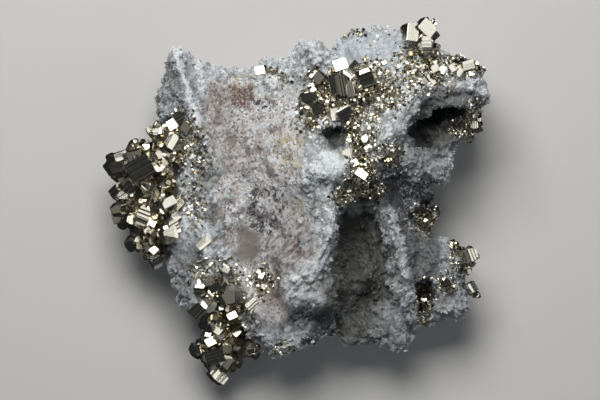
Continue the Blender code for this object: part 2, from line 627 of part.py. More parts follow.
def seated(growth, height):
    """The growth with each root and crystal that has no height of its own set on the rock."""
    roots = []
    for (x, y, z), radii in growth.roots:
        roots.append(((x, y, height(x, y) - ROOT_SINKS * radii[2] if z is ON_ROCK else z), radii))
    crystals = []
    for crystal in growth.crystals:
        x, y, z = crystal.x, crystal.y, crystal.z
        z = height(x, y) + CRYSTAL_STANDS * crystal.size if z is ON_ROCK else z
        crystals.append(crystal._replace(z=z))
    return growth._replace(roots=roots, crystals=crystals)


def merge_flats(thing):
    """Turns triangles that lie in one plane back into one face."""
    shape = bmesh.new()
    shape.from_mesh(thing.data)
    bmesh.ops.dissolve_limit(
        shape, angle_limit=math.radians(FLAT_WITHIN), verts=shape.verts, edges=shape.edges
    )
    shape.to_mesh(thing.data)
    shape.free()


def growth_object(growth, collection):
    """A growth as one solid: each root and crystal is joined to the ones before it."""
    pieces = []
    for centre, radii in growth.roots:
        shape = bmesh.new()
        ellipsoid(shape, centre, radii, ROOT_DETAIL)
        pieces.append(mesh_from(shape, growth.name))
    for crystal in growth.crystals + covering(growth):
        shape = bmesh.new()
        add_crystal(shape, crystal)
        pieces.append(mesh_from(shape, growth.name))
    made = new_object(growth.name, pieces[0], collection)
    group = new_collection("Crystals to join")
    for mesh in pieces[1:]:
        new_object("Crystal to join", mesh, group)
    bpy.context.view_layer.update()
    join = made.modifiers.new("Grown together", "BOOLEAN")
    join.operation = "UNION"
    join.operand_type = "COLLECTION"
    join.collection = group
    join.solver = "EXACT"
    apply_modifiers(made)
    for piece in list(group.objects):
        bpy.data.objects.remove(piece)
    bpy.data.collections.remove(group)
    return made


def swollen(rock, collection):
    """The rock grown outwards by the gap that a growth keeps to it."""
    made = new_object("Rock and gap", rock.data.copy(), collection)
    swell = made.modifiers.new("Gap", "DISPLACE")
    swell.strength = SEAT_GAP * MM
    swell.mid_level = 0.0
    apply_modifiers(made)
    hide_helper(made)
    return made


def centre_on_origin(things):
    """Moves every piece so that the middle of the specimen's box is over the origin."""
    corners = [point.co for thing in things for point in thing.data.vertices]
    middle_x = (min(c.x for c in corners) + max(c.x for c in corners)) / 2
    middle_y = (min(c.y for c in corners) + max(c.y for c in corners)) / 2
    for thing in things:
        thing.data.transform(Matrix.Translation((-middle_x, -middle_y, 0.0)))


def main():
    clear_scene()
    parts = new_collection("Pyrite with quartz")
    cutters = new_collection("Cutters")
    quartz = new_material("Quartz and host rock", QUARTZ_COLOUR, QUARTZ_ROUGHNESS, 0.0)
    pyrite = new_material("Pyrite", PYRITE_COLOUR, PYRITE_ROUGHNESS, 1.0)

    rock = make_rock(parts, cutters)
    rest_flat(rock, cutters)
    keep_largest(rock)
    height = top_of(rock)
    seat = swollen(rock, cutters)
    rock.data.materials.clear()
    rock.data.materials.append(quartz)
    things = [rock]
    for growth in GROWTHS:
        grown = growth_object(seated(growth, height), parts)
        boolean(grown, seat, "DIFFERENCE")
        keep_largest(grown)
        merge_flats(grown)
        grown.data.materials.clear()
        grown.data.materials.append(pyrite)
        things.append(grown)
    centre_on_origin(things)


main()
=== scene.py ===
# %% [markdown]
# # Pyrite with quartz
#
# This scene dresses a hand specimen: a hollow-faced lump of rock, a white crust of tiny quartz
# crystals over most of it, and brassy growths of pyrite along its left side, its top and its right.
# The solids come from the CAD model. Here each of them gets the surface that the real one has: the
# rock becomes a fine skin with thousands of small crystals on it, and each growth of pyrite becomes a
# crowd of flat-faced crystals. All lengths are millimetres until a mesh is written.

import json
import math
import random
from collections import namedtuple

import bmesh
import bpy
import numpy as np
from mathutils import Matrix, Vector, noise
from mathutils.bvhtree import BVHTree

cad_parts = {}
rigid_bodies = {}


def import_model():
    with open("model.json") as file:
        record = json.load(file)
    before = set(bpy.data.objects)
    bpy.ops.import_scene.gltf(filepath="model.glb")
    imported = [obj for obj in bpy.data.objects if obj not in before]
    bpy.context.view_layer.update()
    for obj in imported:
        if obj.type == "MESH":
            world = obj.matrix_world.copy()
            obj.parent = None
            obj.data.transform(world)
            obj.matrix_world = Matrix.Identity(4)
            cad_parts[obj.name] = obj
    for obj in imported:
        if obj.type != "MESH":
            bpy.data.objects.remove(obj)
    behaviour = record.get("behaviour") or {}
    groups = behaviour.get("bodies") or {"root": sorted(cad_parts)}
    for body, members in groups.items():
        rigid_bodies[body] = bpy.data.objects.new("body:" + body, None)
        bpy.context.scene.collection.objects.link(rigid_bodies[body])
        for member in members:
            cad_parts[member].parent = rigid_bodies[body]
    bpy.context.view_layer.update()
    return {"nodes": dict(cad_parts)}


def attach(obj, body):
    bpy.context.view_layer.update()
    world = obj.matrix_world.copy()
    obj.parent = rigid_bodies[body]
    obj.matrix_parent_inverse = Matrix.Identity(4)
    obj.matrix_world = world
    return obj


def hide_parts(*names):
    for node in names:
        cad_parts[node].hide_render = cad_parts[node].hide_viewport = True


MM = 0.001
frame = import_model()

# %% [markdown]
# ## Where things are
#
# The specimen lies on its back and is seen from above, so a place in the photo is a place in X and Y,
# and its height is found by dropping a ray onto the surface. One scale turns the photo's pixels into
# millimetres. It is the scale that the CAD model was drawn to. The origin is the pixel that the middle of
# the CAD model falls on.

# %% Photo places to millimetres
PHOTO_SCALE = 0.275
ORIGIN_ACROSS = 295.8
ORIGIN_DOWN = 201.5


def from_photo(across, down):
    """The X and Y of a pixel of the photo, in millimetres. Takes numbers or arrays."""
    return (across - ORIGIN_ACROSS) * PHOTO_SCALE, (ORIGIN_DOWN - down) * PHOTO_SCALE


def line_from_photo(points):
    return np.array([from_photo(across, down) for across, down in points])


# %% [markdown]
# ## Tools for big meshes
#
# A crust of crystals is tens of thousands of small shapes in one mesh. Adding them one at a time is
# slow, so the work is done on arrays: one small shape is turned, scaled and moved for all its copies at
# once, and the mesh is filled from the arrays. Each copy keeps a tint of its own, because no two
# crystals in a crust look quite alike.

# %% A shape and its copies
Shape = namedtuple("Shape", "corners loops sizes stripes")
Copies = namedtuple("Copies", "shape places turns scales tints")
STRIPE_SHIFTS = 97


def fill_mesh(name, corners, loops, sizes):
    """A mesh from arrays: corners in millimetres, each face's corner numbers, and each face's count."""
    mesh = bpy.data.meshes.new(name)
    mesh.vertices.add(len(corners))
    mesh.vertices.foreach_set("co", (corners * MM).ravel().astype(np.float32))
    mesh.loops.add(len(loops))
    mesh.loops.foreach_set("vertex_index", loops.astype(np.int32))
    mesh.polygons.add(len(sizes))
    starts = np.concatenate(([0], np.cumsum(sizes)[:-1]))
    mesh.polygons.foreach_set("loop_start", starts.astype(np.int32))
    mesh.update(calc_edges=True)
    mesh.validate()
    mesh.shade_flat()
    return mesh


def add_values(mesh, name, values, domain="POINT"):
    """Keeps one number for each corner of a mesh, which a material can read."""
    kept = mesh.attributes.new(name, "FLOAT", domain)
    kept.data.foreach_set("value", np.asarray(values, dtype=np.float32))


def add_to_scene(name, mesh):
    piece = bpy.data.objects.new(name, mesh)
    bpy.context.scene.collection.objects.link(piece)
    return piece


def joined_copies(name, groups):
    """One mesh of all the copies in the groups. The lines on each copy start somewhere else."""
    corners, loops, sizes, stripes, tints = [], [], [], [], []
    start = 0
    for group in groups:
        shape, count = group.shape, len(group.places)
        local = shape.corners[None] * group.scales[:, None, :]
        placed = np.einsum("kij,knj->kni", group.turns, local) + group.places[:, None]
        corners.append(placed.reshape(-1, 3))
        first = start + len(shape.corners) * np.arange(count)
        loops.append((shape.loops[None] + first[:, None]).ravel())
        sizes.append(np.tile(shape.sizes, count))
        shifts = first[:, None] % STRIPE_SHIFTS
        stripes.append((shape.stripes[None] * group.scales[:, :1] + shifts).ravel())
        tints.append(np.repeat(group.tints, len(shape.corners)))
        start += count * len(shape.corners)
    mesh = fill_mesh(name, np.concatenate(corners), np.concatenate(loops), np.concatenate(sizes))
    add_values(mesh, "stripe", np.concatenate(stripes), "CORNER")
    add_values(mesh, "tint", np.concatenate(tints))
    return add_to_scene(name, mesh)


# %% Turns for many copies at once
def turns_towards(ways, spins):
    """Turn matrices that bring each copy's +Z to its way, after a spin about it."""
    ways = ways / np.linalg.norm(ways, axis=1, keepdims=True)
    helper = np.where(np.abs(ways[:, 2:]) < 0.9, [[0.0, 0.0, 1.0]], [[1.0, 0.0, 0.0]])
    side = np.cross(helper, ways)
    side /= np.linalg.norm(side, axis=1, keepdims=True)
    up = np.cross(ways, side)
    cos, sin = np.cos(spins)[:, None], np.sin(spins)[:, None]
    return np.stack([side * cos + up * sin, up * cos - side * sin, ways], axis=2)


def triangles_of(piece):
    piece.data.calc_loop_triangles()
    return len(piece.data.loop_triangles)


# %% [markdown]
# ## A map for small flat faces
#
# Every face of a crystal is flat and has nearly one colour. Where the materials are written out as
# images, each face needs a little room of its own, so the faces are laid out in a square grid, one to a
# cell. That is quick, and no face shares its room with another.

# %% Lay the faces out in a grid
MAP_NAME = "OFBake"
CELL_FILL = 0.36


def grid_map(piece):
    """Gives each face of a piece a cell of its own. The face fills a small circle in the cell."""
    mesh = piece.data
    count = len(mesh.polygons)
    side = math.ceil(math.sqrt(count))
    sizes = np.empty(count, dtype=np.int32)
    mesh.polygons.foreach_get("loop_total", sizes)
    face = np.repeat(np.arange(count), sizes)
    starts = np.repeat(np.cumsum(sizes) - sizes, sizes)
    around = (np.arange(len(face)) - starts) / sizes[face] * 2 * np.pi
    across = (face % side + 0.5 + CELL_FILL * np.cos(around)) / side
    up = (face // side + 0.5 + CELL_FILL * np.sin(around)) / side
    layer = mesh.uv_layers.new(name=MAP_NAME)
    layer.uv.foreach_set("vector", np.stack([across, up], axis=1).ravel().astype(np.float32))


# %% [markdown]
# ## The body of the rock
#
# The CAD rock has the right relief but large flat triangles. A copy of it is covered by an even skin of
# fine quads and smoothed. The skin is then pushed in and out: ridges and furrows where the photo shows
# them, and rounded clumps wherever quartz has crusted the rock. The clumps come from a cell pattern,
# which is full inside each cell and pinched between them, as grown crusts are. The same pattern at a
# larger size breaks the sides of the rock into blunt blocks.

# %% An even fine skin over the CAD rock
SKIN = 0.66
ROCK_SMOOTHING = 4


def skinned_copy(node, name, size, smoothing):
    """A copy of a CAD solid as an even skin of small quads, smoothed so many times."""
    piece = add_to_scene(name, frame["nodes"][node].data.copy())
    piece.data.materials.clear()
    skin = piece.modifiers.new("Even skin", "REMESH")
    skin.mode = "VOXEL"
    skin.voxel_size = size * MM
    smooth = piece.modifiers.new("Smooth", "SMOOTH")
    smooth.factor = 0.5
    smooth.iterations = smoothing
    seen = piece.evaluated_get(bpy.context.evaluated_depsgraph_get())
    piece.data = bpy.data.meshes.new_from_object(seen)
    piece.modifiers.clear()
    return piece


def places_of(mesh):
    """The corners of a mesh in millimetres."""
    flat = np.empty(len(mesh.vertices) * 3, dtype=np.float32)
    mesh.vertices.foreach_get("co", flat)
    return flat.reshape(-1, 3).astype(float) / MM


def ways_out_of(mesh):
    """The way that the surface faces at each corner."""
    flat = np.empty(len(mesh.vertices) * 3, dtype=np.float32)
    mesh.vertex_normals.foreach_get("vector", flat)
    return flat.reshape(-1, 3).astype(float)


def move_corners(mesh, places):
    mesh.vertices.foreach_set("co", (places * MM).ravel().astype(np.float32))
    mesh.update()


rock = skinned_copy("quartz_rock", "rock_body", SKIN, ROCK_SMOOTHING)
print("rock body:", triangles_of(rock), "triangles")


# %% Noise for arrays of places
def wavy(places, size, shift=0.0):
    """Smooth noise between about -1 and 1, whose waves are as long as size."""
    spots = places / size + shift
    return np.array([noise.noise(spot) for spot in spots])


def cell_fullness(places, size, shift=0.0):
    """1 in the middle of each cell of a cell pattern and 0 at its edges."""
    found = []
    for spot in places / size + shift:
        near, _ = noise.voronoi(spot)
        found.append(1.0 - near[0] / max(near[1], 1e-6))
    return np.array(found)


# %% Masks drawn as lines, areas, spots and bands
BAND_SOFT = 0.4


def distance_to_line(x, y, line):
    """How far each place is from a line of points."""
    far = np.full(len(x), np.inf)
    for (ax, ay), (bx, by) in zip(line[:-1], line[1:]):
        run = (bx - ax) ** 2 + (by - ay) ** 2
        along = np.clip(((x - ax) * (bx - ax) + (y - ay) * (by - ay)) / run, 0.0, 1.0)
        far = np.minimum(far, np.hypot(x - ax - along * (bx - ax), y - ay - along * (by - ay)))
    return far


def inside(x, y, line):
    """True where a place lies inside the closed line."""
    within = np.zeros(len(x), dtype=bool)
    for (ax, ay), (bx, by) in zip(line, np.roll(line, -1, axis=0)):
        if ay != by:
            crosses = (ay > y) != (by > y)
            within ^= crosses & (x < (bx - ax) * (y - ay) / (by - ay) + ax)
    return within


def area_mask(x, y, points, soft):
    """1 well inside an area of the photo and 0 well outside it, over a border as wide as soft."""
    line = line_from_photo(points)
    far = distance_to_line(x, y, np.vstack([line, line[:1]]))
    far = np.where(inside(x, y, line), far, -far)
    return np.clip(far / soft + 0.5, 0.0, 1.0)


def spot_mask(x, y, across, down, wide, high, soft=0.6):
    """1 in the middle of an oval spot of the photo, whose half sizes are wide and high, in pixels."""
    middle_x, middle_y = from_photo(across, down)
    off = np.hypot((x - middle_x) / (wide * PHOTO_SCALE), (y - middle_y) / (high * PHOTO_SCALE))
    return np.clip((1.0 - off) / soft + 0.5, 0.0, 1.0)


# %% [markdown]
# ## Areas of the rock
#
# Masks say what the rock is made of at each place: bare host rock, smooth quartz, rust-coloured stain,
# yellow stain, a green-grey tinge, the dark dust of fine sulphide, and where small pyrite crystals are
# strewn. The green-grey tinge is also laid into the cavity, the pit and under the lip as painted shade,
# and the dark mask takes in the deep recesses as painted shadow. Two more masks paint light and shade: a
# white one for the snow-white crust, made brightest where crests such as the knob, the rim and the crest
# of the wing catch the lamp (painted highlight), and a shade one that darkens the hollows, furrows and
# slopes that face away from the lamp (painted shade). Some masks are spots, some are areas with a drawn
# edge, and some are bands along a line. Their borders are pulled about by noise, because nothing in a rock
# ends along a clean curve. Both the body and the crystals on it read the same masks.

# %% The bare face, the smooth block and the red patch
AREA_SOFT = 1.0
FACE_SOFT = 1.6
BLOCK_SOFT = 2.0
HOLLOW_FACE = [
    (210, 78), (240, 74), (252, 80), (258, 94), (272, 98), (284, 92), (296, 88), (300, 112), (301, 145),
    (299, 175), (300, 200), (307, 222), (311, 240), (309, 255), (297, 271), (284, 284), (281, 294),
    (287, 306), (286, 322), (274, 331), (262, 328), (254, 312), (246, 298), (236, 270), (226, 240),
    (217, 205), (211, 165), (203, 130), (204, 98),
]
SMOOTH_BLOCK = [(338, 44), (354, 33), (400, 30), (409, 48), (404, 72), (378, 78), (346, 70)]
RED_PATCH = [(227, 86), (238, 83), (252, 85), (253, 98), (247, 108), (236, 107), (229, 99)]

# %% The stains
Spot = namedtuple("Spot", "name across down wide high strength")
RUST_SPOTS = [
    Spot("left of the patch", 206, 106, 6, 6, 0.6), Spot("left part of the patch", 220, 95, 8, 9, 0.6),
    Spot("under the patch", 219, 112, 12, 16, 0.3), Spot("beside the inset", 275, 282, 5, 16, 0.5),
    Spot("middle", 243, 158, 28, 20, 0.25), Spot("striated part", 290, 245, 28, 24, 0.35),
    Spot("low edge", 272, 292, 10, 16, 0.55),
    Spot("beside the strip", 216, 217, 6, 9, 0.6), Spot("rim side", 283, 213, 14, 14, 0.15),
    Spot("upper face", 262, 128, 30, 16, 0.12), Spot("strip", 225, 236, 8, 10, 0.45),
]
YELLOW_SPOTS = [
    Spot("upper face", 288, 142, 16, 14, 0.8), Spot("ring", 290, 166, 15, 9, 0.9),
    Spot("right", 300, 206, 7, 9, 0.7), Spot("left", 226, 142, 9, 12, 0.35),
    Spot("top", 244, 80, 16, 7, 0.5), Spot("near the rim", 272, 92, 14, 10, 0.35),
]
# Dark dust and dark specks. The spots in the recess right of the seam are also painted shadow.
DARK_SPOTS = [
    Spot("under the red patch", 259, 103, 12, 8, 1.0), Spot("blue speck", 301, 244, 7, 4, 0.9),
    Spot("left upper", 228, 133, 12, 13, 0.5), Spot("striated part", 290, 262, 18, 12, 0.3),
    Spot("middle left", 216, 205, 9, 9, 0.5), Spot("lower slope", 303, 319, 15, 11, 0.9),
    Spot("speckled patch", 266, 209, 16, 19, 0.5), Spot("upper middle", 262, 150, 22, 12, 0.3),
    Spot("end of the seam", 378, 186, 14, 9, 0.6), Spot("foot of the ridge", 393, 168, 10, 14, 0.6),
    Spot("gaps by the strip", 201, 152, 6, 15, 0.7), Spot("notch", 424, 214, 20, 18, 0.8),
    Spot("above the saddle", 402, 210, 18, 16, 0.4),
]
# A green-grey tinge. It is laid mostly into the cavity, the pit, under the lip and down the pillar, where
# its dark grey is also painted shade.
GREEN_TINGE_AND_SHADE_SPOTS = [
    Spot("cavity", 356, 268, 26, 60, 1.0), Spot("under the lip", 436, 126, 34, 22, 0.8),
    Spot("low in the cavity", 352, 322, 24, 22, 0.9), Spot("low slope", 320, 300, 18, 26, 0.5),
    Spot("pillar", 392, 250, 20, 60, 0.35), Spot("pit", 334, 138, 12, 14, 0.9),
    Spot("strip", 208, 178, 10, 16, 0.8), Spot("low strip", 212, 212, 9, 12, 0.8),
    Spot("below the rim", 318, 196, 12, 40, 0.35), Spot("left foot", 262, 250, 30, 20, 0.25),
]

# %% Where fine pyrite is strewn
DRUSE_SPOTS = [
    Spot("right of the prism", 378, 92, 26, 22, 0.95), Spot("under the prism", 364, 116, 18, 14, 0.9),
    Spot("upper right of the prism", 370, 68, 14, 8, 0.6), Spot("ridge foot", 402, 92, 16, 12, 0.5),
    Spot("seam upper", 364, 138, 15, 16, 0.8), Spot("seam", 360, 162, 12, 16, 0.85),
    Spot("seam low", 362, 182, 20, 11, 0.7), Spot("left of the seam low", 343, 197, 12, 10, 0.9),
    Spot("by the ridge", 392, 155, 11, 14, 0.6), Spot("left of the prism", 314, 82, 12, 14, 0.6),
    Spot("low left of the prism", 312, 114, 14, 18, 0.9), Spot("under the top", 418, 61, 21, 17, 1.0),
    Spot("by the cube facet", 420, 80, 24, 10, 0.7), Spot("arm", 461, 66, 20, 12, 1.0),
    Spot("under the arm", 440, 90, 16, 8, 0.35), Spot("right edge", 474, 120, 11, 18, 0.6),
    Spot("hollow's right side", 460, 128, 12, 12, 0.4), Spot("notch", 426, 218, 13, 15, 0.6),
    Spot("lower right end", 466, 258, 14, 16, 0.5), Spot("lobe inset", 446, 283, 9, 11, 0.6),
    Spot("hollow of the lobe", 424, 300, 9, 22, 0.5), Spot("seam end", 374, 190, 14, 9, 0.5),
    Spot("rim bits", 276, 76, 13, 5, 0.45), Spot("under the rim bits", 286, 84, 6, 5, 0.4),
    Spot("beside the left growth", 184, 136, 14, 26, 0.7), Spot("strip", 200, 150, 8, 26, 0.45),
    Spot("low strip", 192, 200, 12, 28, 0.3), Spot("under the flap", 214, 272, 26, 14, 0.5),
    Spot("beside the low growth", 240, 330, 16, 34, 0.35), Spot("inset", 262, 284, 12, 18, 0.5),
    Spot("block's specks", 372, 52, 34, 20, 0.03), Spot("bottom edge", 284, 348, 12, 7, 0.35),
    Spot("block's left edge", 345, 32, 22, 5, 0.25),
]

# %% Snow white and painted highlight, painted shade, dark dust and painted shadow
# Snow-white crust, and painted highlight: the knob and lumps that catch the lamp are made whiter.
WHITE_AND_HIGHLIGHT_SPOTS = [
    Spot("knob", 328, 167, 25, 17, 1.0), Spot("bump", 311, 50, 17, 10, 0.3),
    Spot("tuft", 354, 208, 7, 8, 0.8), Spot("upper face edge", 280, 100, 22, 10, 0.3),
    Spot("under the knob", 320, 190, 14, 12, 0.6), Spot("tongue over the face", 268, 84, 13, 10, 0.6),
]
# Painted shade: hollows, the pit and slopes that face away from the lamp are darkened.
PAINTED_SHADE_SPOTS = [
    Spot("skirt low left", 186, 274, 20, 34, 0.6), Spot("wing left", 169, 95, 12, 44, 0.35),
    Spot("valley", 247, 245, 13, 22, 0.95), Spot("lower slope", 290, 318, 34, 26, 0.55),
    Spot("low edge", 270, 340, 14, 16, 0.4), Spot("pit", 340, 141, 8, 11, 1.0),
    Spot("left of the face", 224, 138, 20, 32, 0.22), Spot("under the corner", 216, 96, 14, 16, 0.25),
    Spot("inside the rim", 280, 206, 16, 26, 0.25), Spot("pillar", 394, 262, 17, 60, 0.5),
    Spot("low end of the slope", 324, 312, 14, 28, 1.0), Spot("behind the pillar", 424, 252, 16, 34, 0.85),
    Spot("low part of the cavity", 352, 316, 24, 24, 1.0),
    Spot("low striated part", 288, 252, 24, 24, 0.3),
]
Area = namedtuple("Area", "name points strength")
# Painted shade over the cavity, the sides of the pillar and the underside of the lip.
PAINTED_SHADE_AREAS = [
    Area("cavity", [
        (338, 196), (350, 190), (366, 192), (375, 204), (381, 230), (386, 252), (388, 272), (393, 292),
        (386, 304), (372, 306), (368, 325), (370, 336), (352, 338), (340, 334), (332, 318), (334, 300),
        (333, 286), (327, 273), (335, 258), (340, 236), (338, 213),
    ], 1.0),
    Area("right side", [
        (404, 205), (440, 200), (436, 232), (447, 244), (441, 262), (436, 278), (434, 306), (428, 330),
        (418, 322), (417, 300), (411, 275), (405, 245), (398, 220),
    ], 0.85),
    Area("right edge", [
        (436, 232), (470, 240), (486, 262), (482, 300), (470, 322), (432, 330), (434, 306), (436, 278),
        (441, 262), (447, 244),
    ], 0.4),
    Area("low lobe", [
        (372, 306), (398, 304), (416, 312), (418, 352), (338, 354), (340, 334), (368, 336),
    ], 0.6),
    Area("lobe under the hollow", [
        (404, 150), (444, 148), (450, 180), (440, 202), (404, 205), (392, 186),
    ], 0.55),
    Area("underside of the lip", [
        (408, 100), (424, 90), (440, 86), (456, 87), (472, 93), (484, 102), (478, 116), (464, 140),
        (440, 152), (410, 146),
    ], 0.85),
    Area("slope right", [
        (328, 292), (334, 286), (336, 300), (334, 322), (322, 334), (306, 340), (318, 318),
    ], 1.0),
    Area("edge of the wing", [(152, 100), (160, 70), (167, 70), (168, 124), (156, 128)], 0.3),
    Area("beside the inset", [
        (271, 256), (279, 262), (282, 280), (279, 299), (272, 299), (275, 280),
    ], 1.0),
    Area("left side of the pillar", [
        (370, 212), (380, 213), (383, 232), (387, 255), (390, 280), (393, 302), (384, 304), (380, 280),
        (376, 250),
    ], 0.8),
    Area("top of the pillar", [(370, 178), (400, 178), (404, 206), (392, 214), (376, 214)], 0.9),
]
# Painted shadow: the deepest recesses are coloured nearly black.
PAINTED_SHADOW_AREAS = [
    Area("low in the cavity", [
        (340, 288), (366, 288), (370, 310), (366, 330), (346, 334), (336, 318),
    ], 0.55),
    Area("end of the slope", [
        (308, 328), (318, 321), (328, 310), (336, 318), (334, 338), (316, 350), (298, 352), (300, 340),
    ], 0.8),
    Area("recess over the pillar", [
        (372, 182), (386, 160), (396, 158), (404, 170), (412, 184), (426, 178), (442, 180), (444, 222),
        (428, 234), (412, 224), (404, 212), (394, 206), (384, 208), (374, 204),
    ], 0.75),
]
Band = namedtuple("Band", "name points wide strength")
# Snow-white crust and painted highlight along the lit crests.
WHITE_AND_HIGHLIGHT_BANDS = [
    Band("rim", [(322, 172), (325, 200), (328, 225), (324, 248), (312, 264), (300, 276)], 10, 0.8),
    Band("under the rim", [(290, 296), (314, 299)], 12, 0.45),
    Band("ridge", [(412, 96), (402, 110), (390, 130), (382, 148)], 11, 0.8),
    Band("right fold of the wing", [(196, 62), (206, 90), (214, 112)], 8, 0.4),
    Band("crest of the wing", [(176, 52), (186, 85), (194, 112), (208, 140)], 4, 1.0),
    Band("flap", [(204, 240), (209, 258), (213, 272)], 8, 0.9),
    Band("crest of the pillar", [
        (388, 216), (391, 230), (395, 247), (400, 264), (402, 281), (403, 300),
    ], 9, 0.45),
    Band("lip", [(414, 86), (440, 86), (470, 84), (484, 92)], 4, 0.3),
]
# Painted shade in the furrows beside the crest of the wing.
PAINTED_SHADE_BANDS = [
    Band("furrow right of the crest", [(190, 66), (199, 92), (206, 118)], 3, 0.45),
    Band("furrow left of the crest", [(172, 70), (179, 104), (188, 130)], 4, 0.45),
]
DARK_BANDS = [
    Band("left of the speckled patch", [(253, 194), (251, 212), (257, 226), (268, 229)], 7, 1.0),
    Band("right of the speckled patch", [(264, 193), (277, 192), (282, 204), (277, 217)], 6, 1.0),
    Band("under the seam", [(345, 196), (360, 200), (380, 190)], 7, 0.8),
]

# %% Masks of many spots, bands and areas
def spots_mask(x, y, spots):
    total = np.zeros(len(x))
    for spot in spots:
        mask = spot_mask(x, y, spot.across, spot.down, spot.wide, spot.high)
        total = np.maximum(total, spot.strength * mask)
    return total


def bands_mask(x, y, bands):
    total = np.zeros(len(x))
    for band in bands:
        far = distance_to_line(x, y, line_from_photo(band.points)) / (band.wide * PHOTO_SCALE)
        total = np.maximum(total, band.strength * np.clip((1.0 - far) / BAND_SOFT + 0.5, 0.0, 1.0))
    return total


def areas_mask(x, y, areas):
    total = np.zeros(len(x))
    for area in areas:
        total = np.maximum(total, area.strength * area_mask(x, y, area.points, AREA_SOFT))
    return total


# %% Fibres low on the face
STRIATED_SPOTS = [Spot("low part", 288, 250, 26, 30, 1.0)]
FIBRE_WAY = np.array([-0.80, -0.60, 0.0])
FIBRE_WIDTH = 0.8
FIBRE_LENGTH = 5.0
FIBRE_RELIEF = 2.4


def fibres(places):
    """Noise drawn out along one way, as the fibres of the low part of the face are."""
    along = np.outer(places @ FIBRE_WAY, FIBRE_WAY)
    return wavy(places / FIBRE_WIDTH - along * (1.0 / FIBRE_WIDTH - 1.0 / FIBRE_LENGTH), 1.0)


# %% All the masks at once
SMOOTHEST = 0.75
BACK_TOP = 11.0
BACK_SOFT = 5.0
BACK_WAVES = 2.2
BORDER_PULLS = ((1.3, 3.5), (0.5, 1.1))
PATCHES = ((1.0, 3.2, 31.0), (0.6, 1.3, 41.0))
MOTTLES = ((1.0, 1.3, 51.0), (1.2, 0.7, 61.0), (0.8, 0.4, 71.0))
MOTTLE_CONTRAST = 1.5
MOTTLE_SHARE = 0.62


def back_mask(places):
    """1 near the broken back, where the host rock is bare, and 0 above a ragged line on the sides."""
    level = (BACK_TOP - places[:, 2]) / BACK_SOFT
    return np.clip(level + BACK_WAVES * wavy(places, 9.0, 3.0), 0.0, 1.0)


def noises(places, layers):
    """A sum of noises, each given as a height, a size and a shift."""
    return sum(height * wavy(places, size, shift) for height, size, shift in layers)


def rock_marks(places, ways):
    """The masks of what the rock is made of at some places on it, and the painted highlight, shade and
    shadow there.
    """
    (broad, broad_size), (fine, fine_size) = BORDER_PULLS
    x = places[:, 0] + broad * wavy(places, broad_size) + fine * wavy(places, fine_size, 5.0)
    y = places[:, 1] + broad * wavy(places, broad_size, 9.0) + fine * wavy(places, fine_size, 15.0)
    front = np.clip(ways[:, 2] * 3.0 + 0.6, 0.0, 1.0)
    bare = area_mask(x, y, HOLLOW_FACE, FACE_SOFT) * front
    bare = np.maximum(bare, back_mask(places))
    spotted = {
        "rust": RUST_SPOTS, "yellow": YELLOW_SPOTS, "dark": DARK_SPOTS, "green": GREEN_TINGE_AND_SHADE_SPOTS,
        "white": WHITE_AND_HIGHLIGHT_SPOTS, "shade": PAINTED_SHADE_SPOTS,
    }
    marks = {name: spots_mask(x, y, spots) * front for name, spots in spotted.items()}
    # The white mask: snow-white crust and painted highlight.
    marks["white"] = np.maximum(marks["white"], bands_mask(x, y, WHITE_AND_HIGHLIGHT_BANDS) * front)
    # The shade mask: painted shade.
    marks["shade"] = np.maximum(marks["shade"], areas_mask(x, y, PAINTED_SHADE_AREAS) * front)
    marks["shade"] = np.maximum(marks["shade"], bands_mask(x, y, PAINTED_SHADE_BANDS) * front)
    mottled = np.clip(MOTTLE_CONTRAST * noises(places, MOTTLES) + MOTTLE_SHARE, 0.0, 1.0)
    marks["dark"] = np.maximum(marks["dark"], bands_mask(x, y, DARK_BANDS) * front) * mottled
    # Painted shadow in the deep recesses joins the dark mask.
    marks["dark"] = np.maximum(marks["dark"], areas_mask(x, y, PAINTED_SHADOW_AREAS) * front)
    marks["rust"] = np.maximum(marks["rust"], area_mask(x, y, RED_PATCH, AREA_SOFT) * front)
    marks["bare"] = bare
    marks["smooth"] = SMOOTHEST * area_mask(x, y, SMOOTH_BLOCK, BLOCK_SOFT) * (ways[:, 2] > 0.3)
    marks["druse"] = spots_mask(x, y, DRUSE_SPOTS) * (ways[:, 2] > -0.2)
    marks["patch"] = noises(places, PATCHES)
    marks["patch"] += FIBRE_RELIEF * fibres(places) * spots_mask(x, y, STRIATED_SPOTS)
    return marks


# %% [markdown]
# ## Ridges, furrows and clumps
#
# The larger folds of the crust are drawn as strokes: each one is a line in the photo, a width, and a
# height that is negative for a furrow. They lift the skin straight up, since they were read off the
# photo from above. The clumps then follow the way the surface faces.

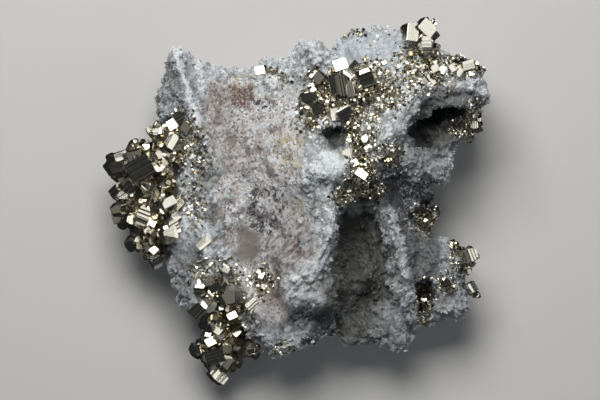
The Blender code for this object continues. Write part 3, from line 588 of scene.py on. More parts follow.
# %% Strokes
Stroke = namedtuple("Stroke", "name points width height")
STROKES = [
    Stroke("crest of the wing", [(176, 52), (186, 85), (194, 112), (210, 148), (217, 168)], 1.9, 1.8),
    Stroke("fold right of the crest", [(199, 70), (208, 95), (214, 118)], 1.3, 1.1),
    Stroke("furrow between them", [(192, 66), (200, 92), (206, 116)], 1.1, -1.3),
    Stroke("furrow left of the crest", [(173, 78), (181, 108), (188, 128)], 1.4, -0.7),
    Stroke("edge of the wing", [(168, 60), (163, 92), (161, 120)], 1.4, 0.9),
    Stroke("strip", [(197, 125), (203, 152), (209, 182), (213, 208), (221, 240), (229, 266)], 2.0, 1.5),
    Stroke("outer strip", [(190, 150), (196, 180), (199, 205)], 1.5, 1.0),
    Stroke("flap", [(202, 238), (207, 256), (211, 272)], 1.4, 1.7),
    Stroke("furrow by the flap", [(217, 232), (216, 252), (221, 276)], 1.1, -1.5),
    Stroke("tongue over the face", [(262, 76), (272, 88)], 2.2, 1.6),
    Stroke("valley of the face", [(246, 222), (240, 245), (246, 262)], 3.2, -1.0),
    Stroke("speckled patch", [(252, 200), (266, 214), (280, 222)], 3.0, 0.9),
    Stroke("left step of the face", [(226, 120), (232, 160), (238, 200), (246, 230)], 1.5, 0.6),
    Stroke("shallow furrow", [(236, 118), (246, 160), (250, 188)], 1.2, -0.6),
    Stroke("long furrow", [(288, 82), (270, 125), (262, 180)], 1.3, -0.5),
    Stroke("low striated fold", [(312, 228), (288, 250), (266, 276)], 0.9, 0.6),
    Stroke("second striated fold", [(300, 222), (278, 240), (262, 256)], 0.8, 0.5),
    Stroke("third striated fold", [(316, 244), (296, 262), (276, 286)], 0.8, 0.5),
    Stroke("crest of the rim", [
        (322, 160), (331, 183), (335, 222), (327, 250), (310, 268), (294, 282),
    ], 1.1, 1.0),
    Stroke("furrow inside the rim", [(312, 186), (318, 214), (312, 240), (298, 258)], 1.2, -0.7),
    Stroke("fold of the lower slope", [(296, 284), (288, 304), (276, 330)], 1.6, 1.0),
    Stroke("furrow of the lower slope", [(308, 300), (300, 310)], 1.4, -0.9),
    Stroke("fold under the crest", [(322, 262), (316, 286), (322, 306)], 1.8, 1.0),
    Stroke("cavity floor", [(354, 222), (357, 268)], 4.5, 4.0),
    Stroke("lower cavity floor", [(354, 300), (356, 330)], 3.5, 1.5),
    Stroke("knob", [(319, 168), (335, 167)], 4.2, 3.2),
    Stroke("under the knob", [(304, 184), (315, 190), (325, 198)], 4.5, 2.6),
    Stroke("pit beside the knob", [(330, 127), (334, 140)], 3.0, 6.5),
    Stroke("low bend of the rim", [(335, 238), (331, 254), (322, 267), (312, 277)], 2.2, 3.5),
    Stroke("shoulder under the rim", [(292, 298), (307, 300), (322, 297)], 3.6, 5.5),
    Stroke("end of the shoulder", [(322, 306), (330, 304)], 2.4, 3.0),
    Stroke("gap beside the inset", [(274, 264), (277, 278), (275, 296)], 1.1, -2.2),
    Stroke("end of the slope", [(300, 326), (318, 322), (328, 330)], 3.6, -4.0),
    Stroke("recess over the pillar", [(396, 190), (412, 204), (430, 204)], 3.4, -4.0),
    Stroke("tuft", [(351, 206), (355, 208)], 1.8, 4.0),
    Stroke("right part of the hollow", [(450, 122), (464, 112)], 3.0, 6.0),
    Stroke("tongue in the hollow", [(428, 132), (436, 142)], 1.6, 4.0),
    Stroke("floor of the hollow", [(418, 132), (440, 124), (458, 118)], 2.6, 3.5),
    Stroke("dark hollow of the slope", [(298, 318), (312, 322)], 2.4, -1.2),
    Stroke("lip", [(414, 92), (436, 88), (462, 92), (484, 97)], 1.0, 1.0),
    Stroke("white ridge", [(416, 92), (402, 112), (388, 132), (380, 150)], 1.6, 1.0),
    Stroke("lobe under the hollow", [(404, 156), (420, 164), (438, 170)], 1.8, 1.0),
    Stroke("crest of the pillar", [
        (388, 214), (391, 230), (395, 247), (400, 264), (402, 281), (404, 300),
    ], 2.5, 2.4),
    Stroke("top of the pillar", [(384, 196), (394, 200)], 2.6, -3.0),
    Stroke("left side of the pillar", [(370, 212), (378, 240), (382, 270), (386, 296)], 2.0, -1.5),
    Stroke("furrow right of the pillar", [(406, 220), (412, 244), (420, 270), (421, 300)], 1.8, -2.2),
    Stroke("gap under the pillar", [(396, 308), (412, 308)], 1.2, -1.5),
    Stroke("low lobe", [(392, 320), (398, 338)], 3.0, 1.5),
    Stroke("bump low in the cavity", [(348, 340), (358, 338)], 2.4, 2.0),
    Stroke("right fold", [(432, 248), (440, 266), (442, 300), (436, 318)], 1.6, 1.0),
]


def stroke_heights(x, y, ways):
    """How far the strokes lift each place. They only work on what faces up."""
    total = np.zeros(len(x))
    for stroke in STROKES:
        far = distance_to_line(x, y, line_from_photo(stroke.points))
        total += stroke.height * np.exp(-((far / stroke.width) ** 2))
    return total * np.clip(ways[:, 2] * 2.5, 0.0, 1.0)


# %% Clumps, waves and broken sides
CLUMP_SIZES = (4.6, 2.1, 1.1)
CLUMP_HEIGHTS = (1.5, 1.25, 0.6)
CREVICE_SHARES = (0.3, 0.55, 0.5)
CELL_LEVEL = 0.4
LESS_WHERE_BARE = 0.85
LESS_WHERE_WHITE = 0.55
FACE_WAVES = ((5.0, 0.55), (2.2, 0.5), (1.1, 0.35))
WAVES_ON_CRUST = 0.35
LESS_WHERE_SMOOTH = 0.7
PATCH_RELIEF = 0.45
SIDE_TOP = 26.0
SIDE_BLOCK_SIZE = 9.0
SIDE_BLOCK_HEIGHT = 4.0


def relief(places, ways, marks):
    """How far each place is pushed out, and how deep it lies between the clumps."""
    thin = np.maximum(marks["bare"], marks["smooth"])
    out = np.zeros(len(places))
    filled = np.zeros(len(places))
    for size, height, share in zip(CLUMP_SIZES, CLUMP_HEIGHTS, CREVICE_SHARES):
        fullness = cell_fullness(places + 0.25 * size * wavy(places, size)[:, None], size)
        clump = height * (fullness - CELL_LEVEL) * (1.0 - LESS_WHERE_BARE * thin)
        out += clump * (1.0 - LESS_WHERE_WHITE * marks["white"])
        filled += share * fullness
    waviness = WAVES_ON_CRUST + (1.0 - WAVES_ON_CRUST) * marks["bare"]
    for size, height in FACE_WAVES:
        waves = height * wavy(places, size, 8.0) * waviness
        out += waves * (1.0 - LESS_WHERE_SMOOTH * marks["smooth"])
    out += PATCH_RELIEF * np.clip(marks["patch"], -0.6, 0.8) * marks["bare"]
    side = np.clip(1.0 - places[:, 2] / SIDE_TOP, 0.0, 1.0) * (1.0 - np.abs(ways[:, 2]))
    out += SIDE_BLOCK_HEIGHT * (cell_fullness(places, SIDE_BLOCK_SIZE, 3.0) - CELL_LEVEL) * side
    return out, 1.0 - np.clip(filled, 0.0, 1.0)


# %% Press them into the skin
STROKE_WOBBLE = 0.8
WOBBLE_SIZE = 4.0
RESTING_LEVEL = 0.05


def press_rock(piece):
    """Shapes the skin, keeps its masks on it, and returns them."""
    places, ways = places_of(piece.data), ways_out_of(piece.data)
    x = places[:, 0] + STROKE_WOBBLE * wavy(places, WOBBLE_SIZE, 2.0)
    y = places[:, 1] + STROKE_WOBBLE * wavy(places, WOBBLE_SIZE, 12.0)
    places[:, 2] += stroke_heights(x, y, ways)
    marks = rock_marks(places, ways)
    out, marks["crevice"] = relief(places, ways, marks)
    places += ways * out[:, None]
    places[:, 2] = np.maximum(places[:, 2], RESTING_LEVEL)
    move_corners(piece.data, places)
    piece.data.shade_smooth()
    for name, mask in marks.items():
        add_values(piece.data, name, mask)
    add_values(piece.data, "tint", np.full(len(places), 0.5))
    return marks


rock_marks_kept = press_rock(rock)
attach(rock, "root")
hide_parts("quartz_rock")
grid_map(rock)

# %% [markdown]
# ## The crust of quartz
#
# The white crust of the real rock is made of quartz grains about half a millimetre across, so close
# together that they look like sugar or old snow. A bump map would make it look like plaster: real
# grains catch the light one by one and make the outline ragged. So each grain is a small pointed shape.
# They are strewn evenly over the skin's area, at random, and each one leans its own way. On the crests
# stand larger six-sided points, some with a short prism under them.

# %% Shapes of quartz grain
GRAIN_BASE = -0.35


def quartz_grain(pick):
    """A four-sided point, 1 across, whose tip is off the middle."""
    turn = (np.arange(4) + np.array([pick.uniform(-0.25, 0.25) for _ in range(4)])) * math.pi / 2
    ring = np.stack([0.5 * np.cos(turn), 0.5 * np.sin(turn), np.full(4, GRAIN_BASE)], axis=1)
    tip = [[pick.uniform(-0.2, 0.2), pick.uniform(-0.2, 0.2), 0.55]]
    sides = np.arange(4)
    loops = np.stack([sides, (sides + 1) % 4, np.full(4, 4)], axis=1).ravel()
    return Shape(np.vstack([ring, tip]), loops, np.full(4, 3), np.zeros(12))


def quartz_point(prism):
    """A six-sided point 1 across. With a prism it stands on six upright faces."""
    turn = np.arange(6) * math.pi / 3
    radius = 0.5 + 0.06 * np.cos(3 * turn)
    ring = np.stack([radius * np.cos(turn), radius * np.sin(turn)], axis=1)
    base = np.column_stack([ring, np.full(6, GRAIN_BASE)])
    sides = np.arange(6)
    after = (sides + 1) % 6
    if not prism:
        loops = np.stack([sides, after, np.full(6, 6)], axis=1).ravel()
        return Shape(np.vstack([base, [[0.07, 0.04, 0.6]]]), loops, np.full(6, 3), np.zeros(18))
    top = np.column_stack([ring * 0.96, np.full(6, 0.3)])
    walls = np.stack([sides, after, after + 6, sides + 6], axis=1).ravel()
    points = np.stack([sides + 6, after + 6, np.full(6, 12)], axis=1).ravel()
    loops = np.concatenate([walls, points])
    sizes = np.concatenate([np.full(6, 4), np.full(6, 3)])
    return Shape(np.vstack([base, top, [[0.07, 0.04, 0.85]]]), loops, sizes, np.zeros(len(loops)))


# %% Strew things over a skin
chance = np.random.default_rng(7)
Strewn = namedtuple("Strewn", "places ways marks")


def strew(piece, marks, thickness):
    """Random places on a skin, with so many to each square millimetre as thickness gives."""
    mesh = piece.data
    mesh.calc_loop_triangles()
    triangles = np.empty(len(mesh.loop_triangles) * 3, dtype=np.int32)
    mesh.loop_triangles.foreach_get("vertices", triangles)
    triangles = triangles.reshape(-1, 3)
    corners, ways = places_of(mesh), ways_out_of(mesh)
    a, b, c = (corners[triangles[:, side]] for side in range(3))
    area = np.linalg.norm(np.cross(b - a, c - a), axis=1) / 2
    wanted = area * thickness[triangles].mean(axis=1)
    count = int(wanted.sum())
    chosen = triangles[chance.choice(len(triangles), count, p=wanted / wanted.sum())]
    parts = chance.dirichlet((1.0, 1.0, 1.0), count)

    def read(values):
        return np.einsum("kj,kj...->k...", parts, values[chosen])

    return Strewn(read(corners), read(ways), {name: read(values) for name, values in marks.items()})


def set_copies(strewn, shape, chosen, size, lean, stretch):
    """Copies of a shape on chosen places, each leaning its own way."""
    count = len(chosen)
    ways = strewn.ways[chosen] + chance.normal(0.0, lean, (count, 3))
    wide = size[chosen]
    tall = wide * chance.uniform(*stretch, count)
    scales = np.stack([wide, wide * chance.uniform(0.7, 1.0, count), tall], axis=1)
    turns = turns_towards(ways, chance.uniform(0.0, 2 * np.pi, count))
    return Copies(shape, strewn.places[chosen], turns, scales, chance.random(count))


def grown_piece(name, strewn, sets):
    """One piece of several sets of copies, each of which reads the masks where it stands."""
    piece = joined_copies(name, [copies for copies, chosen in sets])
    for mark, values in strewn.marks.items():
        spread = [np.repeat(values[chosen], len(copies.shape.corners)) for copies, chosen in sets]
        add_values(piece.data, mark, np.concatenate(spread))
    grid_map(piece)
    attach(piece, "root")
    print(name, triangles_of(piece), "triangles")
    return piece


# %% How thick the crust is
CRUST_THICKNESS = 4.6
SIDE_THICKNESS = 2.0
FACE_THICKNESS = 6.0
BLOCK_THICKNESS = 4.5
LEAST_HEIGHT = 0.9
THICKER_FROM = 5.0
THICKER_OVER = 5.0


def crust_thickness(places, ways, marks):
    """Grains to a square millimetre at each corner of the skin."""
    high = np.clip((places[:, 2] - THICKER_FROM) / THICKER_OVER, 0.0, 1.0)
    up = np.clip((ways[:, 2] + 0.15) * 3.0, 0.0, 1.0) * high
    thick = SIDE_THICKNESS + (CRUST_THICKNESS - SIDE_THICKNESS) * up
    thick = np.where((marks["bare"] > 0.5) & (up > 0.0), FACE_THICKNESS, thick)
    thick = thick + (BLOCK_THICKNESS - thick) * marks["smooth"]
    return np.where((places[:, 2] > LEAST_HEIGHT) & (ways[:, 2] > -0.95), thick, 0.0)


GRAIN_LEAST, GRAIN_SPREAD, CREST_EXTRA = 0.42, 0.36, 0.22
FACE_GRAIN_LEAST, FACE_GRAIN_SPREAD = 0.26, 0.3


def grain_sizes(strewn):
    """The width of each grain: large on the crests of the clumps, and small on the bare face."""
    count = len(strewn.places)
    crust = GRAIN_LEAST + GRAIN_SPREAD * chance.random(count) ** 1.5
    crust += CREST_EXTRA * (1.0 - strewn.marks["crevice"])
    face = FACE_GRAIN_LEAST + FACE_GRAIN_SPREAD * chance.random(count) ** 2.0
    thin = np.maximum(strewn.marks["bare"], strewn.marks["smooth"])
    return crust + (face - crust) * thin


# %% Grow the crust
GRAIN_STRETCH = (0.5, 1.0)
GRAIN_LEAN = 0.5
PARTS = 3
pick = random.Random(11)
grain_shapes = [quartz_grain(pick) for _ in range(4)]
rock_places, rock_ways = places_of(rock.data), ways_out_of(rock.data)
strewn = strew(rock, rock_marks_kept, crust_thickness(rock_places, rock_ways, rock_marks_kept))
sizes = grain_sizes(strewn)
order = np.argsort(strewn.places[:, 0])
quartz_pieces = []
for number, part in enumerate(np.array_split(order, PARTS), 1):
    sets = []
    for index, shape in enumerate(grain_shapes):
        chosen = part[index :: len(grain_shapes)]
        sets.append((set_copies(strewn, shape, chosen, sizes, GRAIN_LEAN, GRAIN_STRETCH), chosen))
    quartz_pieces.append(grown_piece(f"quartz_crust_{number}", strewn, sets))

# %% Larger points on the crests
POINT_THICKNESS = 0.8
POINT_LEAN = 0.4
POINT_STRETCH = (0.8, 1.3)
POINT_LEAST, POINT_SPREAD = 0.5, 0.7
LOWEST_POINT = 3.0
crests = POINT_THICKNESS * (1.0 - rock_marks_kept["crevice"]) ** 2 * (1.0 - rock_marks_kept["bare"])
crests *= (1.0 - rock_marks_kept["smooth"]) * (rock_places[:, 2] > LOWEST_POINT) * (rock_ways[:, 2] > -0.4)
crest_points = strew(rock, rock_marks_kept, crests)
count = len(crest_points.places)
sizes = POINT_LEAST + POINT_SPREAD * chance.random(count) ** 1.5
sets = []
for first, prism in enumerate((False, True)):
    chosen = np.arange(first, count, 2)
    copies = set_copies(crest_points, quartz_point(prism), chosen, sizes, POINT_LEAN, POINT_STRETCH)
    sets.append((copies, chosen))
quartz_pieces.append(grown_piece("quartz_points", crest_points, sets))

# %% [markdown]
# ## The finish of the rock and its quartz
#
# One node group mixes the colour of both the body and the grains on it, from the masks and from noises.
# White quartz is never one white: it runs from clear grey to cream, and each grain has its own tint. It
# is painted darker between the clumps as painted shade, less so on the white crests. The white mask adds
# painted highlight, and the shade mask paints shade over crust and bare rock alike. Where the rock is bare
# it is a sugary mixture of white, pink, brown and grey grains, in patches of several sizes. Dark dust
# doesn't tint the quartz evenly. It covers some grains and leaves others, so the mask only says how large
# a share of the grains is dark. In the deep recesses that share is painted shadow.

# %% Node tools
def new_group(name, inputs, outputs):
    """A node group with named sockets, and its two ends."""
    group = bpy.data.node_groups.new(name, "ShaderNodeTree")
    for socket, kind, value in inputs:
        made = group.interface.new_socket(socket, in_out="INPUT", socket_type=kind)
        made.default_value = value
    for socket, kind in outputs:
        group.interface.new_socket(socket, in_out="OUTPUT", socket_type=kind)
    return group, group.nodes.new("NodeGroupInput"), group.nodes.new("NodeGroupOutput")


def add_node(tree, kind, **settings):
    """Adds a node. A setting named in<number> fills that input, and any other is a property."""
    node = tree.nodes.new(kind)
    for name, value in settings.items():
        if name.startswith("in") and name[2:].isdigit():
            node.inputs[int(name[2:])].default_value = value
        else:
            setattr(node, name, value)
    return node


def wire(tree, source, target):
    tree.links.new(source, target)


def mixed(tree, share, first, second):
    """A colour mix. The share is a socket, and each colour is a socket or plain numbers."""
    mix = add_node(tree, "ShaderNodeMix", data_type="RGBA")
    wire(tree, share, mix.inputs["Factor"])
    for value, socket in ((first, mix.inputs[6]), (second, mix.inputs[7])):
        if isinstance(value, tuple):
            socket.default_value = value
        else:
            wire(tree, value, socket)
    return mix.outputs[2]


def between(tree, value, low, high, to_low=0.0, to_high=1.0):
    """Stretches the part of a value from low to high onto to_low to to_high."""
    ranged = add_node(tree, "ShaderNodeMapRange", in1=low, in2=high, in3=to_low, in4=to_high)
    wire(tree, value, ranged.inputs[0])
    return ranged.outputs[0]


def noise_of(tree, where, waves, detail, roughness=0.5):
    """Smooth noise with so many waves to a metre."""
    texture = add_node(tree, "ShaderNodeTexNoise", in2=waves, in3=detail, in4=roughness)
    wire(tree, where, texture.inputs["Vector"])
    return texture.outputs["Fac"]


def counted(tree, operation, first, second):
    """One sum on two values. The second is a socket or a plain number."""
    node = add_node(tree, "ShaderNodeMath", operation=operation)
    wire(tree, first, node.inputs[0])
    if isinstance(second, float):
        node.inputs[1].default_value = second
    else:
        wire(tree, second, node.inputs[1])
    return node.outputs[0]


# %% The stone colour group
QUARTZ_WHITE = (0.76, 0.80, 0.84, 1.0)
QUARTZ_GREY = (0.24, 0.26, 0.29, 1.0)
# Snow-white quartz, also used as painted highlight.
SNOW_WHITE_AND_HIGHLIGHT = (0.85, 0.89, 0.92, 1.0)
# Painted shade on the crust.
PAINTED_SHADE_GREY = (0.10, 0.108, 0.116, 1.0)
BLOCK_BLUE = (0.50, 0.56, 0.61, 1.0)
# Painted shade on the bare host rock.
PAINTED_SHADE_TAUPE = (0.215, 0.195, 0.183, 1.0)
QUARTZ_CREAM = (0.56, 0.53, 0.46, 1.0)
# Painted shade between the clumps.
CREVICE_PAINTED_SHADE = (0.14, 0.14, 0.13, 1.0)
HOST_PALE = (0.71, 0.69, 0.665, 1.0)
HOST_BEIGE = (0.52, 0.49, 0.46, 1.0)
HOST_PINK = (0.44, 0.375, 0.36, 1.0)
HOST_GREY = (0.17, 0.165, 0.17, 1.0)
HOST_BROWN = (0.17, 0.135, 0.12, 1.0)
RUST = (0.16, 0.092, 0.066, 1.0)
YELLOW = (0.50, 0.40, 0.15, 1.0)
# Dark dust, and painted shadow in the recesses.
DARK_DUST_AND_SHADOW = (0.045, 0.05, 0.065, 1.0)
# Green-grey tinge, and painted shade in the hollows.
GREEN_GREY_AND_SHADE = (0.11, 0.115, 0.085, 1.0)
DARK_SHARE = 0.85
STONE_MASKS = [
    "Bare", "Rust", "Yellow", "Dark", "Smooth", "Crevice", "Green", "White", "Shade", "Patch", "Tint",
]


def stone_colour_group():
    """The colour of the crust, the colour of the host rock, a mix of them, the stains on both, and painted
    highlight, shade and shadow.
    """
    inputs = [(mask, "NodeSocketFloat", 0.0) for mask in STONE_MASKS]
    group, start, end = new_group("Stone colour", inputs, [("Colour", "NodeSocketColor")])
    where = add_node(group, "ShaderNodeTexCoord").outputs["Object"]
    broad = noise_of(group, where, 260.0, 3.0, 0.6)
    middle = noise_of(group, where, 700.0, 3.0, 0.65)
    fine = noise_of(group, where, 1500.0, 2.0, 0.6)
    grains = add_node(group, "ShaderNodeTexVoronoi", in2=1900.0)
    wire(group, where, grains.inputs["Vector"])
    grain = add_node(group, "ShaderNodeSeparateColor")
    wire(group, grains.outputs["Color"], grain.inputs[0])
    mask = start.outputs
    white = mixed(group, between(group, mask["Tint"], 0.5, 0.95), QUARTZ_WHITE, QUARTZ_GREY)
    white = mixed(group, between(group, broad, 0.52, 0.72, 0.0, 0.5), white, QUARTZ_CREAM)
    # Painted shade on the crust.
    white = mixed(group, mask["Shade"], white, PAINTED_SHADE_GREY)
    # A green-grey tinge, also painted shade in the hollows.
    white = mixed(group, counted(group, "MULTIPLY", mask["Green"], 0.6), white, GREEN_GREY_AND_SHADE)
    # Painted highlight with the snow-white crust.
    snow_and_highlight = counted(group, "MULTIPLY", mask["White"], between(group, mask["Tint"], 0.7, 1.0, 1.0, 0.3))
    white = mixed(group, snow_and_highlight, white, SNOW_WHITE_AND_HIGHLIGHT)
    # Painted shade between the clumps, weaker on the white crests.
    crevice_shade_limit = between(group, mask["White"], 0.8, 1.0, 0.72, 0.25)
    crevice_shade = counted(group, "MULTIPLY", between(group, mask["Crevice"], 0.5, 0.85), crevice_shade_limit)
    white = mixed(group, crevice_shade, white, CREVICE_PAINTED_SHADE)
    white = mixed(group, counted(group, "MULTIPLY", mask["Smooth"], 0.7), white, BLOCK_BLUE)
    host = mixed(group, between(group, broad, 0.42, 0.58), HOST_PALE, HOST_BEIGE)
    host = mixed(group, between(group, grain.outputs[0], 0.45, 0.8, 0.0, 0.8), host, HOST_PINK)
    host = mixed(group, between(group, grain.outputs[1], 0.74, 0.84), host, HOST_GREY)
    host = mixed(group, between(group, grain.outputs[2], 0.74, 0.84), host, QUARTZ_WHITE)
    host = mixed(group, between(group, mask["Tint"], 0.72, 0.8, 0.0, 0.75), host, HOST_GREY)
    host = mixed(group, between(group, mask["Tint"], 0.28, 0.2, 0.0, 0.9), host, SNOW_WHITE_AND_HIGHLIGHT)
    host = mixed(group, between(group, mask["Patch"], 0.36, 0.55, 0.0, 0.8), host, QUARTZ_WHITE)
    host = mixed(group, between(group, mask["Patch"], -0.28, -0.5, 0.0, 0.62), host, HOST_BROWN)
    # Painted shade on the bare host rock.
    host = mixed(group, mask["Shade"], host, PAINTED_SHADE_TAUPE)
    colour = mixed(group, mask["Bare"], white, host)
    rusty = counted(group, "MULTIPLY", mask["Rust"], between(group, fine, 0.3, 0.55))
    colour = mixed(group, rusty, colour, RUST)
    yellowed = between(group, middle, 0.48, 0.62, 0.0, 0.8)
    colour = mixed(group, counted(group, "MULTIPLY", mask["Yellow"], yellowed), colour, YELLOW)
    # Dark dust, and painted shadow where the dark mask covers recesses.
    darkness = counted(group, "ADD", counted(group, "MULTIPLY", mask["Dark"], DARK_SHARE), mask["Tint"])
    dust_and_shadow = between(group, darkness, 1.0, 1.17, 0.0, 0.95)
    colour = mixed(group, dust_and_shadow, colour, DARK_DUST_AND_SHADOW)
    wire(group, colour, end.inputs["Colour"])
    return group


stone_colour = stone_colour_group()


# %% The two materials of the rock
def new_material(name):
    made = bpy.data.materials.new(name)
    made.use_nodes = True
    tree = made.node_tree
    return made, tree, tree.nodes["Principled BSDF"]


def read_value(tree, name):
    return add_node(tree, "ShaderNodeAttribute", attribute_name=name).outputs["Fac"]


STONE_BUMP_WAVES = 2200.0


def stone_material(name, roughness, bump_height):
    """Stone colour with a fine bump, slightly soft inside as quartz is."""
    made, tree, shader = new_material(name)
    group = add_node(tree, "ShaderNodeGroup", node_tree=stone_colour)
    for mask in STONE_MASKS:
        wire(tree, read_value(tree, mask.lower()), group.inputs[mask])
    wire(tree, group.outputs["Colour"], shader.inputs["Base Color"])
    shader.inputs["Roughness"].default_value = roughness
    shader.inputs["IOR"].default_value = 1.54
    shader.inputs["Subsurface Weight"].default_value = 0.1
    shader.inputs["Subsurface Radius"].default_value = (1.0, 1.0, 1.0)
    shader.inputs["Subsurface Scale"].default_value = 0.0005
    where = add_node(tree, "ShaderNodeTexCoord").outputs["Object"]
    bump = add_node(tree, "ShaderNodeBump", in0=0.7, in1=bump_height)
    wire(tree, noise_of(tree, where, STONE_BUMP_WAVES, 3.0, 0.65), bump.inputs["Height"])
    wire(tree, bump.outputs["Normal"], shader.inputs["Normal"])
    return made


rock.data.materials.append(stone_material("Crusted rock", 0.6, 0.0003))
points_finish = stone_material("Quartz grains", 0.35, 0.00004)
for piece in quartz_pieces:
    piece.data.materials.append(points_finish)

# %% [markdown]
# ## Pyrite crystals
#
# Pyrite grows as cubes, as twelve-sided shapes with five-sided faces, and as everything between. All of
# them come from one rule: start with a block, and cut it with planes at chosen distances from its
# middle. No two planes are at quite the same distance, which gives the lopsided faces of real crystals.
# The large faces of some crystals are not one plane but a mosaic of two or three that nearly agree, so
# each of them is cut again by planes that lean a little. The faces carry fine parallel lines, and on each
# face those lines run one way only. A number kept at each corner of a face says how far across its lines
# it lies.

# %% Cut a crystal
EIGHT_WAYS = [(a, b, c) for a in (1, -1) for b in (1, -1) for c in (1, -1)]
TWELVE_WAYS = [way for a in (1, -1) for b in (2, -2) for way in ((0, a, b), (b, 0, a), (a, b, 0))]
Habit = namedtuple("Habit", "cube eight twelve uneven main")
HABITS = {
    "cube": Habit(1.0, 1.66, 1.34, 0.03, (0, 0, 1)),
    "block": Habit(1.0, 1.62, 1.34, 0.09, (0, 0, 1)),
    "mixed": Habit(1.0, 1.38, 1.22, 0.12, (0, 0, 1)),
    "twelve": Habit(1.12, 1.56, 1.0, 0.07, (0, 1, 2)),
    "eight": Habit(1.26, 1.0, 1.40, 0.08, (1, 1, 1)),
}
MOSAIC_LEAN = 0.13


def mosaic_planes(form, pick):
    """Planes that nearly follow the faces of the cube, and split each of them in two or three."""
    planes = []
    for axis in range(3):
        for side in (1, -1):
            for _ in range(2):
                way = [pick.uniform(-MOSAIC_LEAN, MOSAIC_LEAN) for _ in range(3)]
                way[axis] = side
                planes.append((Vector(way), form.cube * pick.uniform(0.93, 0.99)))
    return planes


def cut_crystal(habit, pick, mosaic=False):
    """One crystal, 1 across, as a shape. The planes that face straight up keep their distance."""
    form = HABITS[habit]
    planes = [(Vector(way), form.eight) for way in EIGHT_WAYS]
    planes += [(Vector(way), form.twelve) for way in TWELVE_WAYS]
    if mosaic:
        planes += mosaic_planes(form, pick)
    solid = bmesh.new()
    bmesh.ops.create_cube(solid, size=2.0 * form.cube)
    for corner in solid.verts:
        for axis in range(3):
            corner.co[axis] *= 1.0 + pick.uniform(-form.uneven, form.uneven) * 0.4
    for way, distance in planes:
        way = way.normalized()
        at = way * distance * (1.0 + pick.uniform(-form.uneven, form.uneven) * (way.z < 0.9))
        everything = solid.verts[:] + solid.edges[:] + solid.faces[:]
        cut = bmesh.ops.bisect_plane(solid, geom=everything, plane_co=at, plane_no=way, clear_outer=True)
        rim = [part for part in cut["geom_cut"] if isinstance(part, bmesh.types.BMEdge)]
        if len(rim) > 2:
            bmesh.ops.edgeloop_fill(solid, edges=rim)
    bmesh.ops.recalc_face_normals(solid, faces=solid.faces)
    shape = shape_from(solid)
    solid.free()
    return shape


def shape_from(solid):
    """Reads a solid of half size 1 as a shape 1 across, with the line number of each face's corners."""
    solid.verts.index_update()
    corners = np.array([corner.co[:] for corner in solid.verts]) / 2.0
    loops, sizes, stripes = [], [], []
    for face in solid.faces:
        main = max(range(3), key=lambda axis: abs(face.normal[axis]))
        across = (main + 2) % 3
        flat = abs(face.normal[main]) < 0.7
        sizes.append(len(face.verts))
        for corner in face.verts:
            loops.append(corner.index)
            stripes.append(0.0 if flat else corner.co[across] / 2.0)
    return Shape(corners, np.array(loops), np.array(sizes), np.array(stripes))


# %% A crystal with steps
SLABS = 9
SLAB_STEP = 0.06
SLAB_LEAN = 0.22


def stepped_crystal(pick):
    """A crystal built of thin slabs side by side, whose tops lean a little to one side or the other."""
    corners, loops, sizes, stripes = [], [], [], []
    edges = np.linspace(-0.5, 0.5, SLABS + 1)
    for index, (low, high) in enumerate(zip(edges[:-1], edges[1:])):
        middle = (low + high) / 2
        reach = 0.5 * math.sqrt(max(0.2, 1.0 - (1.5 * middle) ** 2)) + pick.uniform(-0.03, 0.03)
        odd = index % 2
        top = 0.5 - SLAB_STEP * odd - pick.uniform(0.0, SLAB_STEP * 0.6) - 0.3 * middle * middle
        lean = pick.uniform(0.0, SLAB_LEAN) * (1 - 2 * odd) * (high - low)
        for x, raised in ((low, -lean), (high, lean)):
            for y in (-reach, reach):
                for z in (-0.5, top + raised):
                    corners.append((x, y, z))
        first = 8 * index
        for face in ((1, 5, 7, 3), (0, 1, 3, 2), (4, 6, 7, 5), (0, 4, 5, 1), (2, 3, 7, 6)):
            loops.extend(first + corner for corner in face)
            stripes.extend(0.0 for _ in face)
            sizes.append(4)
    return Shape(np.array(corners), np.array(loops), np.array(sizes), np.array(stripes))


# %% A stock of crystals to choose from
OF_EACH_HABIT = 6
OF_STEPPED = 4
MOSAIC_HABITS = ("cube", "block", "mixed")
STOCK = {habit: [cut_crystal(habit, pick) for _ in range(OF_EACH_HABIT)] for habit in HABITS}
STOCK["stepped"] = [stepped_crystal(pick) for _ in range(OF_STEPPED)]
CHOICE = {}
for habit in HABITS:
    mosaic = habit in MOSAIC_HABITS
    CHOICE[habit] = [cut_crystal(habit, pick, mosaic) for _ in range(OF_EACH_HABIT)]
CHOICE["stepped"] = STOCK["stepped"]
for habit, shapes in STOCK.items():
    print("faces of the first", habit, "crystal:", len(shapes[0].sizes))
